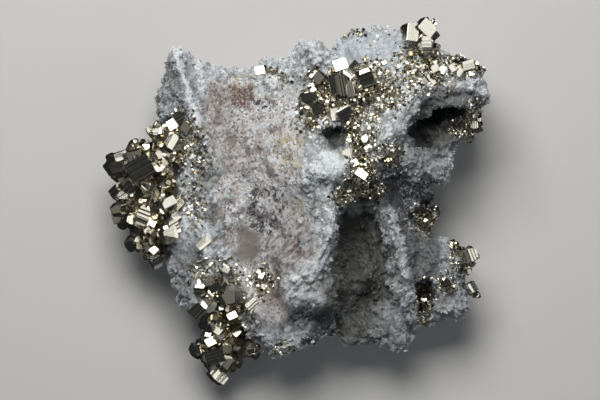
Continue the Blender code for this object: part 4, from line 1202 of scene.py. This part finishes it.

# %% [markdown]
# ## The chosen crystals
#
# The largest crystals are what the eye finds first, so each of them is listed: its middle in
# the photo, its width, its habit, and what its main face mirrors. A face that leans towards the lamp
# shines white, one that leans to the pale card looks cream, one that leans to the dim card looks like
# old brass, and one that leans a little away from the lamp mirrors the dark room. Each has a spin in
# degrees, a length in widths, and a lift in widths that says how far it stands out of the mass. The dark
# ones and a few with broad clean faces come from the plain stock, and the others have mosaic faces.

# %% The list
LAMP, CARD, DIM, DARK = (-0.04, 0.26), (0.34, 0.10), (-0.36, -0.06), (0.03, -0.14)
Hero = namedtuple("Hero", "name across down size habit lean spin long lift")
HEROES = [
    Hero("far left", 115, 166, 5.6, "twelve", DARK, 10, 1.0, 0.1),
    Hero("far left cap", 118, 156, 3.2, "block", CARD, 20, 1.4, 0.9),
    Hero("big dark", 140, 167, 6.6, "block", DARK, 30, 1.1, 0.35),
    Hero("brown wedge", 136, 154, 4.2, "mixed", DIM, 15, 1.4, 0.5),
    Hero("kite", 170, 143, 4.5, "mixed", CARD, 60, 1.5, 0.45),
    Hero("top bright", 158, 132, 2.6, "block", LAMP, 5, 1.6, 0.3),
    Hero("white one", 146, 146, 2.7, "mixed", LAMP, 35, 1.0, 0.4),
    Hero("white in the middle", 160, 154, 2.7, "block", CARD, 20, 1.3, 0.5),
    Hero("beside the kite", 180, 147, 3.2, "twelve", DIM, 0, 1.0, 0.4),
    Hero("striped by the kite", 180, 157, 2.3, "stepped", CARD, 60, 1.0, 0.5),
    Hero("upper dark", 180, 117, 3.0, "cube", DARK, 30, 1.0, 0.3),
    Hero("second upper dark", 187, 127, 2.8, "cube", DIM, 50, 1.0, 0.3),
    Hero("small bright cube", 151, 186, 1.5, "cube", LAMP, 5, 1.0, 0.6),
    Hero("small striped cube", 143, 187, 2.0, "stepped", CARD, 50, 1.0, 0.6),
    Hero("small bright pair", 156, 191, 1.7, "block", CARD, 20, 1.2, 0.6),
    Hero("dark below", 127, 185, 4.0, "mixed", DARK, 45, 1.1, 0.3),
    Hero("bright below", 129, 195, 1.4, "cube", LAMP, 10, 1.3, 0.6),
    Hero("cream facet", 167, 203, 3.6, "mixed", CARD, 25, 1.4, 0.5),
    Hero("under the cream facet", 164, 211, 2.6, "mixed", LAMP, 25, 1.2, 0.45),
    Hero("old brass", 127, 207, 4.0, "block", DIM, 25, 1.5, 0.4),
    Hero("left edge", 117, 209, 3.8, "twelve", DIM, 10, 1.2, 0.2),
    Hero("striated", 140, 217, 4.5, "stepped", CARD, 70, 1.3, 0.45),
    Hero("cream cube", 145, 230, 2.1, "cube", CARD, 20, 1.0, 0.6),
    Hero("second cream cube", 151, 234, 1.9, "cube", CARD, 35, 1.0, 0.6),
    Hero("many-faced", 168, 236, 4.9, "mixed", CARD, 15, 1.0, 0.35),
    Hero("saddle", 173, 227, 3.2, "stepped", CARD, 120, 1.5, 0.7),
    Hero("crumbly", 174, 216, 2.9, "mixed", CARD, 40, 1.0, 0.5),
    Hero("lower left bright", 136, 240, 2.0, "block", CARD, 60, 1.2, 0.4),
    Hero("white low", 153, 251, 2.2, "block", LAMP, 40, 1.3, 0.6),
    Hero("dark bottom", 155, 261, 4.0, "mixed", DARK, 30, 1.0, 0.2),
    Hero("plate on the flap", 202, 243, 3.4, "block", CARD, 40, 1.9, 0.35),
    Hero("lens", 232, 296, 5.6, "twelve", DIM, 90, 1.1, 0.45),
    Hero("dark by the lens", 223, 299, 2.9, "block", DARK, 30, 1.1, 0.4),
    Hero("lined", 250, 305, 3.7, "stepped", CARD, 130, 1.0, 0.3),
    Hero("bright upper", 225, 269, 2.4, "block", CARD, 60, 1.3, 0.4),
    Hero("gold upper", 218, 275, 2.0, "block", DIM, 20, 1.2, 0.4),
    Hero("small upper left", 198, 283, 1.4, "cube", LAMP, 20, 1.0, 0.5),
    Hero("dark olive", 199, 290, 3.2, "mixed", DARK, 0, 1.0, 0.3),
    Hero("second dark olive", 214, 286, 3.4, "block", DARK, 30, 1.2, 0.3),
    Hero("round olive", 208, 304, 4.1, "twelve", DIM, 40, 1.0, 0.35),
    Hero("small bright", 221, 309, 1.4, "block", LAMP, 15, 1.1, 0.7),
    Hero("white quadrilateral", 232, 317, 2.3, "block", LAMP, 25, 1.5, 0.6),
    Hero("under the quadrilateral", 233, 324, 1.9, "mixed", CARD, 50, 1.1, 0.5),
    Hero("black left", 197, 311, 3.8, "block", DARK, 45, 1.1, 0.3),
    Hero("white pair upper", 208, 335, 1.8, "block", LAMP, 70, 1.3, 0.6),
    Hero("white pair", 210, 344, 2.7, "block", LAMP, 25, 1.2, 0.5),
    Hero("dark blue", 214, 357, 4.6, "block", DARK, 15, 1.3, 0.4),
    Hero("left round", 194, 352, 3.4, "twelve", DARK, 20, 1.0, 0.3),
    Hero("left small", 197, 355, 1.5, "cube", CARD, 20, 1.2, 0.9),
    Hero("taupe", 229, 364, 4.2, "mixed", DIM, 40, 1.0, 0.35),
    Hero("olive right", 241, 352, 3.6, "twelve", DARK, 60, 1.1, 0.3),
    Hero("olive far right", 249, 346, 3.0, "twelve", DIM, 0, 1.1, 0.2),
    Hero("tip", 216, 379, 4.2, "stepped", CARD, -40, 1.5, 0.3),
    Hero("inset bright", 261, 276, 2.1, "mixed", LAMP, 70, 1.3, 0.5),
    Hero("inset second", 268, 277, 1.6, "block", CARD, 20, 1.0, 0.4),
    Hero("inset olive", 257, 292, 2.6, "mixed", DIM, 20, 1.0, 0.4),
    Hero("prism, left side", 335, 84, 4.2, "block", DARK, 100, 1.9, 0.35),
    Hero("prism, middle", 342, 85, 4.4, "stepped", (0.0, -0.16), 10, 0.55, 0.45),
    Hero("prism, right side", 350, 89, 3.6, "block", (-0.2, -0.1), 104, 1.7, 0.4),
    Hero("prism, foot", 343, 94, 3.4, "mixed", DARK, 20, 1.5, 0.25),
    Hero("prism's white face", 340, 67, 3.4, "block", LAMP, 20, 1.3, 0.75),
    Hero("prism's white edge", 349, 76, 2.6, "block", LAMP, -35, 1.9, 0.8),
    Hero("black right", 354, 69, 3.6, "block", DARK, 50, 1.2, 0.5),
    Hero("second black right", 365, 78, 4.6, "mixed", DARK, 20, 1.0, 0.4),
    Hero("left frosted", 320, 78, 3.6, "mixed", DIM, 50, 1.1, 0.3),
    Hero("left dark", 313, 73, 2.6, "block", DARK, 40, 1.5, 0.3),
    Hero("dark mass", 308, 98, 3.8, "mixed", DARK, 10, 1.2, 0.3),
    Hero("dark mass below", 318, 109, 3.6, "mixed", DARK, 60, 1.1, 0.3),
    Hero("light in the dark mass", 313, 91, 1.5, "mixed", LAMP, 30, 1.3, 0.5),
    Hero("second light in the dark mass", 305, 106, 1.4, "mixed", CARD, 60, 1.2, 0.6),
    Hero("dark mass left", 304, 112, 3.2, "mixed", DARK, 25, 1.0, 0.3),
    Hero("small upright", 332, 98, 1.8, "block", CARD, 90, 1.6, 0.9),
    Hero("grooved", 334, 115, 3.5, "cube", CARD, 12, 1.0, 0.5),
    Hero("black by the grooved", 345, 113, 3.6, "block", DARK, 30, 1.1, 0.2),
    Hero("single on the block", 383, 64, 1.6, "mixed", LAMP, 30, 1.0, 0.5),
    Hero("seam white", 364, 140, 1.9, "mixed", LAMP, 30, 1.2, 0.5),
    Hero("seam white beside", 369, 145, 2.1, "mixed", LAMP, 75, 1.2, 0.5),
    Hero("seam white below", 365, 151, 1.7, "mixed", CARD, 10, 1.3, 0.5),
    Hero("seam right", 376, 160, 1.7, "mixed", CARD, 50, 1.2, 0.5),
    Hero("left of the seam low", 338, 187, 1.6, "mixed", LAMP, 50, 1.2, 0.5),
    Hero("low seam gold", 348, 190, 1.5, "mixed", CARD, 20, 1.2, 0.5),
    Hero("seam cream", 345, 154, 2.3, "block", CARD, 25, 1.2, 0.5),
    Hero("seam upper", 349, 140, 2.0, "mixed", LAMP, 60, 1.0, 0.4),
    Hero("seam bright", 354, 164, 2.0, "block", LAMP, 25, 1.3, 0.5),
    Hero("seam low white", 361, 175, 2.6, "block", LAMP, -35, 1.7, 0.5),
    Hero("seam olive", 352, 171, 2.4, "block", DIM, 60, 1.4, 0.4),
    Hero("top left", 409, 35, 4.0, "block", CARD, 84, 1.5, 0.5),
    Hero("top right", 423, 31, 4.2, "block", CARD, -42, 1.35, 0.6),
    Hero("dark side of the top right", 431, 34, 3.0, "block", DARK, -50, 1.7, 0.35),
    Hero("dark side of the top left", 403, 34, 2.4, "block", DARK, 84, 1.9, 0.25),
    Hero("top low", 423, 47, 3.5, "stepped", CARD, 92, 1.6, 0.45),
    Hero("top gap", 415, 36, 2.6, "mixed", DARK, 20, 1.2, 0.3),
    Hero("top small gold", 411, 43, 1.6, "mixed", LAMP, 20, 1.2, 0.5),
    Hero("cube facet", 431, 79, 3.4, "cube", CARD, 40, 1.1, 0.45),
    Hero("above the cube facet", 432, 70, 2.4, "mixed", CARD, 30, 1.3, 0.5),
    Hero("right above the cube facet", 441, 72, 2.0, "block", LAMP, 60, 1.2, 0.5),
    Hero("left above the cube facet", 423, 68, 1.9, "mixed", CARD, 10, 1.2, 0.5),
    Hero("arm below", 457, 74, 2.2, "mixed", CARD, 50, 1.4, 0.5),
    Hero("arm right", 470, 75, 1.8, "mixed", LAMP, 10, 1.2, 0.5),
    Hero("beside the cube facet", 422, 82, 2.0, "block", CARD, 20, 1.5, 0.4),
    Hero("arm first", 451, 69, 2.4, "block", CARD, 30, 1.2, 0.5),
    Hero("arm second", 465, 67, 3.4, "block", CARD, 15, 1.3, 0.4),
    Hero("arm end", 475, 66, 2.0, "mixed", LAMP, 40, 1.1, 0.4),
    Hero("right edge", 474, 115, 2.0, "block", CARD, 80, 1.2, 0.4),
    Hero("right edge outer", 479, 118, 1.5, "block", CARD, 80, 1.8, 0.3),
    Hero("right edge striped", 473, 125, 2.2, "stepped", CARD, 0, 1.1, 0.4),
    Hero("right edge dark", 477, 128, 2.6, "mixed", DARK, 30, 1.0, 0.3),
    Hero("notch gold", 428, 214, 2.2, "mixed", DIM, 30, 1.2, 0.4),
    Hero("notch dark", 425, 222, 3.0, "mixed", DARK, 60, 1.0, 0.3),
    Hero("striated right", 469, 256, 3.8, "stepped", CARD, 20, 1.2, 0.45),
    Hero("brown right", 465, 266, 3.6, "mixed", DIM, 50, 1.1, 0.3),
    Hero("small right", 453, 244, 2.0, "block", DARK, 20, 1.5, 0.4),
    Hero("right tip", 473, 288, 2.8, "block", CARD, 120, 1.2, 0.4),
    Hero("right tip second", 476, 294, 1.8, "mixed", DARK, 120, 1.2, 0.3),
    Hero("lobe inset", 446, 283, 2.8, "mixed", DARK, 20, 1.0, 0.4),
    Hero("rim bright", 260, 71, 2.5, "block", LAMP, 10, 1.2, 0.75),
    Hero("rim small", 273, 74, 1.5, "mixed", DIM, 30, 1.0, 0.5),
]

# %% [markdown]
# ## Growing a crowd of crystals
#
# Each CAD growth gives the shape of a mass. A smoothed copy of it is the heart that holds the crystals
# together. The chosen crystals stand on it first. Then others fill the room between them, from large to
# small, each in a free place. They stand about half out of it. Left to chance, hardly any of their faces
# would catch the lamp, while the real mass sparkles, so one in five of them is turned to do so.

# %% Growth tools
Layer = namedtuple("Layer", "low high apart tries")
LARGE_LAYERS = [
    Layer(2.4, 3.8, 0.38, 120), Layer(1.5, 2.4, 0.36, 450), Layer(0.9, 1.5, 0.36, 1400),
    Layer(0.5, 0.9, 0.4, 3000),
]
SMALL_LAYERS = [Layer(1.0, 1.8, 0.4, 70), Layer(0.65, 1.0, 0.38, 1300), Layer(0.4, 0.65, 0.4, 2600)]
LARGE_GROWTHS = ("pyrite_left_growth", "pyrite_lower_left_growth")
CROWD_HABITS = ["block", "mixed", "twelve", "cube", "block", "eight", "mixed"]
HEART_SKIN = 0.7
HEART_SMOOTHING = 8
HEART_SHRINK = 0.9
HEART_BOTTOM = 1.0
LIT_SHARE = 0.2
LIT_SPREAD = 0.07


def heart_of(node):
    """The smoothed mass under a growth's crystals."""
    heart = skinned_copy(node, node + "_heart", HEART_SKIN, HEART_SMOOTHING)
    places, ways = places_of(heart.data), ways_out_of(heart.data)
    places += ways * (0.5 * wavy(places, 1.6, 3.0) - HEART_SHRINK)[:, None]
    places[:, 2] = np.maximum(places[:, 2], HEART_BOTTOM)
    move_corners(heart.data, places)
    return heart


def lit_ways(count, dice):
    """Ways that mirror the lamp or the pale card to the camera, or nearly so."""
    leans = np.array([LAMP, CARD])[dice.integers(2, size=count)]
    leans = leans + dice.normal(0.0, LIT_SPREAD, (count, 2))
    return np.column_stack([leans, np.ones(count)])


def free_places(candidates, taken, layer, dice):
    """Places for one layer, each far enough from the ones before it, as x, y, z and a width."""
    found = []
    kept = len(taken)
    taken = np.vstack([taken, np.zeros((layer.tries, 4))])
    for index in dice.permutation(len(candidates))[: layer.tries]:
        size = dice.uniform(layer.low, layer.high)
        off = np.linalg.norm(taken[:kept, :3] - candidates[index], axis=1)
        if np.all(off > layer.apart * (taken[:kept, 3] + size)):
            taken[kept] = (*candidates[index], size)
            found.append((index, size))
            kept += 1
    return found, taken[:kept]


CROWD_LEAN = 0.5
STANDS_OUT = 0.08
FULL_TURN = 6.28


def crowd(heart, seed, taken, layers):
    """Crystals over the whole of a heart, as groups of copies."""
    dice = np.random.default_rng(seed)
    places, ways = places_of(heart.data), ways_out_of(heart.data)
    groups = []
    for layer in layers:
        found, taken = free_places(places, taken, layer, dice)
        for index, size in found:
            habit = CROWD_HABITS[dice.integers(len(CROWD_HABITS))]
            shape = STOCK[habit][dice.integers(len(STOCK[habit]))]
            way = ways[index] + dice.normal(0.0, CROWD_LEAN, 3)
            if dice.random() < LIT_SHARE and ways[index, 2] > 0.2:
                way = lit_ways(1, dice)[0]
            turn = turns_towards(way[None], dice.uniform(0.0, FULL_TURN, 1))
            scale = size * dice.uniform(0.8, 1.1, (1, 3))
            place = (places[index] + ways[index] * size * STANDS_OUT)[None]
            groups.append(Copies(shape, place, turn, scale, dice.random(1)))
    return groups


# %% A ray down onto a surface
TOP_OF_ROOM = 1.0
BESIDE_LEVEL = 0.03


def tree_of(piece):
    mesh = piece.data
    corners = [corner.co for corner in mesh.vertices]
    return BVHTree.FromPolygons(corners, [face.vertices for face in mesh.polygons])


def height_on(trees, x, y):
    """The height of the highest surface at a place, in millimetres. Off its edge, the nearest height."""
    start = Vector((x * MM, y * MM, TOP_OF_ROOM))
    hits = [tree.ray_cast(start, Vector((0.0, 0.0, -1.0)))[0] for tree in trees]
    found = [hit.z / MM for hit in hits if hit]
    if found:
        return max(found)
    beside = [tree.find_nearest(Vector((x * MM, y * MM, BESIDE_LEVEL)))[0] for tree in trees]
    return min(beside, key=lambda hit: math.hypot(hit.x / MM - x, hit.y / MM - y)).z / MM


# %% Set a chosen crystal
def matrix_for(habit, lean, spin):
    """The turn that brings a habit's main face to face the way it leans, spun about that way."""
    main = Vector(HABITS[habit].main if habit in HABITS else (0, 0, 1)).normalized()
    way = Vector((lean[0], lean[1], 1.0)).normalized()
    upright = main.rotation_difference(Vector((0, 0, 1))).to_matrix()
    about = Matrix.Rotation(math.radians(spin), 3, "Z")
    tilt = Vector((0, 0, 1)).rotation_difference(way).to_matrix()
    return np.array(tilt @ about @ upright)


MOST_TINT = 0.45
SUNK = 0.35
CLEAN_FACED = ("top left", "top right", "kite", "prism's white face", "cube facet", "seam low white")


def hero_copy(hero, trees, pick):
    """A chosen crystal, sunk into the surface under it and raised by its lift."""
    x, y = from_photo(hero.across, hero.down)
    clean = hero.lean == DARK or hero.name in CLEAN_FACED
    shapes = (STOCK if clean else CHOICE)[hero.habit]
    shape = shapes[pick.randrange(len(shapes))]
    lean = (hero.lean[0] + pick.uniform(-0.04, 0.04), hero.lean[1] + pick.uniform(-0.04, 0.04))
    scale = np.array([[hero.size * math.sqrt(hero.long), hero.size / math.sqrt(hero.long), hero.size]])
    z = height_on(trees, x, y) + (hero.lift - SUNK) * hero.size
    place = np.array([[x, y, z]])
    tint = np.array([pick.uniform(0.0, MOST_TINT)])
    return Copies(shape, place, matrix_for(hero.habit, lean, hero.spin)[None], scale, tint)


# %% The masses, each with a seed for its own dice
GROWTH_SEEDS = {
    "pyrite_left_growth": 3, "pyrite_lower_left_growth": 5, "pyrite_centre_growth": 8,
    "pyrite_top_growth": 11, "pyrite_far_right_druse": 13, "pyrite_right_edge_crystals": 17,
    "pyrite_right_middle_crystals": 19, "pyrite_lower_right_crystals": 23, "pyrite_lower_right_tip": 29,
    "pyrite_hollow_crystals": 31, "pyrite_lobe_inset": 37, "pyrite_face_inset": 41,
    "pyrite_rim_crystals": 43, "pyrite_dark_patch": 47,
}
hearts = {node: heart_of(node) for node in GROWTH_SEEDS}
trees = [tree_of(piece) for piece in (rock, *hearts.values())]
hero_copies = [hero_copy(hero, trees, pick) for hero in HEROES]
taken = np.array([(*copies.places[0], copies.scales[0].min()) for copies in hero_copies])
pyrite_pieces = list(hearts.values())
heroes = joined_copies("pyrite_chosen_crystals", hero_copies)
pyrite_pieces.append(heroes)
print("chosen crystals:", len(HEROES), "with", triangles_of(heroes), "triangles")

# %% Grow the crowds
for node, seed in GROWTH_SEEDS.items():
    layers = LARGE_LAYERS if node in LARGE_GROWTHS else SMALL_LAYERS
    crystals = joined_copies(node + "_crystals", crowd(hearts[node], seed, taken, layers))
    pyrite_pieces.append(crystals)
    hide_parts(node)
    add_values(hearts[node].data, "tint", np.zeros(len(hearts[node].data.vertices)))
    print(node, triangles_of(crystals), "triangles of crystals")

# %% [markdown]
# ## Fine pyrite on the quartz
#
# Around the large crystals the crust is peppered with pyrite crystals a third of a millimetre to a
# millimetre across, which glitter white, gold and black. They are plain small blocks, turned every way,
# and one in five is turned to the lamp or the pale card.

# %% Strew the fine crystals
DRUSE_THICKNESS = 4.6
DRUSE_LEAN = 0.7
DRUSE_STRETCH = (0.8, 1.2)
DRUSE_LEAST, DRUSE_SPREAD = 0.36, 0.55
LIT_PULL = 6.0


def fine_block(pick):
    """A small block with one corner cut away, open where it stands in the crust."""
    solid = bmesh.new()
    bmesh.ops.create_cube(solid, size=2.0)
    way = Vector((1, 1, 1)).normalized()
    everything = solid.verts[:] + solid.edges[:] + solid.faces[:]
    at = way * pick.uniform(0.8, 1.2)
    cut = bmesh.ops.bisect_plane(solid, geom=everything, plane_co=at, plane_no=way, clear_outer=True)
    rim = [part for part in cut["geom_cut"] if isinstance(part, bmesh.types.BMEdge)]
    bmesh.ops.edgeloop_fill(solid, edges=rim)
    under = [face for face in solid.faces if face.normal.z < -0.9]
    bmesh.ops.delete(solid, geom=under, context="FACES_ONLY")
    shape = shape_from(solid)
    solid.free()
    return shape


fine_blocks = [fine_block(pick) for _ in range(4)]
druse = strew(rock, rock_marks_kept, DRUSE_THICKNESS * rock_marks_kept["druse"])
count = len(druse.places)
sizes = DRUSE_LEAST + DRUSE_SPREAD * chance.random(count) ** 2.0
lit = chance.random(count) < LIT_SHARE
druse.ways[lit] = LIT_PULL * lit_ways(int(lit.sum()), chance)
sets = []
for index, shape in enumerate(fine_blocks):
    chosen = np.arange(index, count, len(fine_blocks))
    sets.append(set_copies(druse, shape, chosen, sizes, DRUSE_LEAN, DRUSE_STRETCH))
fine_pyrite = joined_copies("pyrite_fine_crystals", sets)
pyrite_pieces.append(fine_pyrite)
print("fine crystals:", count, "with", triangles_of(fine_pyrite), "triangles")
for piece in pyrite_pieces:
    grid_map(piece)
    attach(piece, "root")

# %% [markdown]
# ## The finish of pyrite
#
# Pyrite is a pale brassy metal. What makes it look like pyrite is contrast: each face is a mirror that
# shows either the lamp, pale and nearly white, or the dark of the room. The lines on its faces break
# those mirrors up. Some crystals are tarnished a little darker and browner. The fine crystals are a
# little rougher, so that they sparkle less sharply. The hearts between the crystals are rough and painted
# dark brown to black, as painted shade in the gaps between the crystals.

# %% Pyrite
PYRITE_PALE = (0.76, 0.74, 0.66, 1.0)
PYRITE_GOLD = (0.60, 0.54, 0.40, 1.0)
PYRITE_BROWN = (0.20, 0.17, 0.11, 1.0)
# Painted shade on the hearts between the crystals, clouded with the brown of the tarnish.
PYRITE_HEART_SHADE = (0.06, 0.055, 0.045, 1.0)
CLOUD_WAVES = 900.0
LINE_HEIGHT = 0.00012


def pyrite_material(name, shaded_hearts, smoothest, roughest):
    """Metal with lined faces. The lines are stronger on the crystals with more tint."""
    made, tree, shader = new_material(name)
    tint = read_value(tree, "tint")
    # Painted shade: the hearts seen in the gaps between the crystals are dark brown to black.
    if shaded_hearts:
        where = add_node(tree, "ShaderNodeTexCoord").outputs["Object"]
        cloud = between(tree, noise_of(tree, where, CLOUD_WAVES, 2.0), 0.4, 0.7)
        colour = mixed(tree, cloud, PYRITE_HEART_SHADE, PYRITE_BROWN)
    else:
        colour = mixed(tree, between(tree, tint, 0.3, 0.8), PYRITE_PALE, PYRITE_GOLD)
        colour = mixed(tree, between(tree, tint, 0.85, 0.92, 0.0, 0.8), colour, PYRITE_BROWN)
    wire(tree, colour, shader.inputs["Base Color"])
    shader.inputs["Metallic"].default_value = 1.0
    stripe = add_node(tree, "ShaderNodeAttribute", attribute_name="stripe")
    lines = add_node(tree, "ShaderNodeTexNoise", noise_dimensions="1D", in2=2.0, in3=3.0, in4=0.7)
    wire(tree, stripe.outputs["Fac"], lines.inputs["W"])
    bump = add_node(tree, "ShaderNodeBump", in1=LINE_HEIGHT)
    wire(tree, between(tree, tint, 0.1, 1.0, 0.03, 0.6), bump.inputs[0])
    wire(tree, lines.outputs["Fac"], bump.inputs["Height"])
    wire(tree, bump.outputs["Normal"], shader.inputs["Normal"])
    roughness = between(tree, lines.outputs["Fac"], 0.35, 0.7, smoothest, roughest)
    wire(tree, roughness, shader.inputs["Roughness"])
    return made


bright_pyrite = pyrite_material("Bright pyrite", False, 0.12, 0.28)
fine_finish = pyrite_material("Fine pyrite", False, 0.2, 0.3)
heart_shade_pyrite = pyrite_material("Pyrite between the crystals", True, 0.2, 0.4)
for piece in pyrite_pieces:
    if piece.name.endswith("_heart"):
        piece.data.materials.append(heart_shade_pyrite)
    else:
        piece.data.materials.append(fine_finish if piece == fine_pyrite else bright_pyrite)

# %% [markdown]
# ## The table, the light and the camera
#
# The specimen lies on a plain pale table. One soft lamp stands high beyond its top edge, as in the photo,
# so that the ridges cast soft shadows down the picture. The pyrite doesn't mirror the lamp itself but a
# bright card in front of it. The room stays dim, or the pyrite would have nothing dark to mirror. Two
# quieter cards, one pale and one dim, light nothing by themselves and give its faces cream and old brass
# to show. A faint fill from below and a wide one from the side keep the hollows and the sides readable.
# Far from the specimen the lamp doesn't reach, so the table itself glows faintly there.

# %% Table
TABLE_SIZE = 6.0
TABLE_COLOUR = (0.66, 0.65, 0.635, 1.0)
PALER = 1.03
TABLE_WAVES = 6.0
FAR_GLOW = (0.50, 0.495, 0.485, 1.0)
GLOW_FROM = 0.12
GLOW_TO = 0.75


def make_table():
    """A wide pale table, left out of the pyrite's mirrors."""
    table = add_to_scene("table", bpy.data.meshes.new("table"))
    shape = bmesh.new()
    bmesh.ops.create_grid(shape, x_segments=4, y_segments=4, size=TABLE_SIZE / 2)
    shape.to_mesh(table.data)
    shape.free()
    made, tree, shader = new_material("Pale table")
    where = add_node(tree, "ShaderNodeTexCoord").outputs["Object"]
    cloud = noise_of(tree, where, TABLE_WAVES, 3.0)
    pale = tuple(part * PALER for part in TABLE_COLOUR[:3]) + (1.0,)
    wire(tree, mixed(tree, cloud, TABLE_COLOUR, pale), shader.inputs["Base Color"])
    shader.inputs["Roughness"].default_value = 0.75
    far = add_node(tree, "ShaderNodeVectorMath", operation="LENGTH")
    wire(tree, where, far.inputs[0])
    share = between(tree, far.outputs["Value"], GLOW_FROM, GLOW_TO)
    wire(tree, mixed(tree, share, (0.0, 0.0, 0.0, 1.0), FAR_GLOW), shader.inputs["Emission Color"])
    shader.inputs["Emission Strength"].default_value = 1.0
    table.data.materials.append(made)
    table.visible_glossy = False
    return table


table = make_table()

# %% Lamps and cards
MIDDLE_OF_SPECIMEN = Vector((0.0, 0.0, 0.03))


def add_lamp(name, place, power, size, colour, mirrored=True, only_mirrored=False):
    """A square lamp that faces the specimen. A card is one that is only seen in mirrors."""
    light = bpy.data.lights.new(name, "AREA")
    light.energy = power
    light.size = size
    light.color = colour
    lamp = bpy.data.objects.new(name, light)
    lamp.location = place
    lamp.rotation_euler = (MIDDLE_OF_SPECIMEN - Vector(place)).to_track_quat("-Z", "Y").to_euler()
    bpy.context.scene.collection.objects.link(lamp)
    lamp.visible_glossy = mirrored
    if only_mirrored:
        lamp.visible_diffuse = False
        lamp.visible_transmission = False


def towards(lean, far):
    """A place far away in the direction that a face of this lean mirrors to the camera."""
    way = Vector((lean[0], lean[1], 1.0)).normalized()
    mirrored = 2.0 * way.z * way - Vector((0.0, 0.0, 1.0))
    return MIDDLE_OF_SPECIMEN + mirrored * far


WARM_WHITE = (1.0, 0.99, 0.97)
CREAM = (1.0, 0.99, 0.95)
OLD_BRASS = (1.0, 0.96, 0.88)
COOL_WHITE = (0.9, 0.95, 1.0)
PALE_SKY = (0.95, 0.97, 1.0)
add_lamp("key", towards(LAMP, 0.5), 2.4, 0.26, WARM_WHITE, mirrored=False)
add_lamp("bright card", towards(LAMP, 0.46), 1.3, 0.25, CREAM, only_mirrored=True)
add_lamp("fill", (0.15, -0.5, 0.5), 0.16, 0.5, COOL_WHITE, mirrored=False)
add_lamp("side fill", (0.7, -0.7, 0.4), 1.0, 1.2, PALE_SKY)
add_lamp("pale card", towards(CARD, 0.8), 0.54, 0.38, CREAM, only_mirrored=True)
add_lamp("dim card", towards(DIM, 0.8), 0.25, 0.7, OLD_BRASS, only_mirrored=True)


# %% The dim room
WALL_COLOUR = (0.62, 0.61, 0.60, 1.0)
ROOM_LIGHT_COLOUR = (0.80, 0.90, 1.0, 1.0)
ROOM_LIGHT = 0.05
MIRRORED_COLOUR = (0.9, 0.95, 1.0, 1.0)
MIRRORED_LIGHT = 0.02


def make_room():
    """A room that looks pale to the camera, lights faintly, and is nearly black in mirrors."""
    world = bpy.data.worlds.new("Room")
    bpy.context.scene.world = world
    world.use_nodes = True
    tree = world.node_tree
    seen = tree.nodes["Background"]
    seen.inputs["Color"].default_value = WALL_COLOUR
    lit = add_node(tree, "ShaderNodeBackground", in0=ROOM_LIGHT_COLOUR, in1=ROOM_LIGHT)
    mirrored = add_node(tree, "ShaderNodeBackground", in0=MIRRORED_COLOUR, in1=MIRRORED_LIGHT)
    paths = add_node(tree, "ShaderNodeLightPath")
    inner = add_node(tree, "ShaderNodeMixShader")
    wire(tree, paths.outputs["Is Glossy Ray"], inner.inputs[0])
    wire(tree, lit.outputs[0], inner.inputs[1])
    wire(tree, mirrored.outputs[0], inner.inputs[2])
    either = add_node(tree, "ShaderNodeMixShader")
    wire(tree, paths.outputs["Is Camera Ray"], either.inputs[0])
    wire(tree, inner.outputs[0], either.inputs[1])
    wire(tree, seen.outputs[0], either.inputs[2])
    wire(tree, either.outputs[0], tree.nodes["World Output"].inputs["Surface"])


make_room()
bpy.context.scene.view_settings.view_transform = "Standard"

# %% Camera
FAR_END = 20.0
LENS = 250.0
SENSOR = 36.0
PHOTO_WIDTH, PHOTO_HEIGHT = 600, 400
SHARP_LEVEL = 33.0


def make_camera():
    """A long lens straight above, so far away that the photo's scale holds at the middle of the relief."""
    data = bpy.data.cameras.new("camera")
    data.lens = LENS
    data.sensor_width = SENSOR
    data.clip_end = FAR_END
    camera = bpy.data.objects.new("camera", data)
    x, y = from_photo(PHOTO_WIDTH / 2, PHOTO_HEIGHT / 2)
    away = PHOTO_WIDTH * PHOTO_SCALE * LENS / SENSOR
    camera.location = (x * MM, y * MM, (SHARP_LEVEL + away) * MM)
    bpy.context.scene.collection.objects.link(camera)
    bpy.context.scene.camera = camera


make_camera()
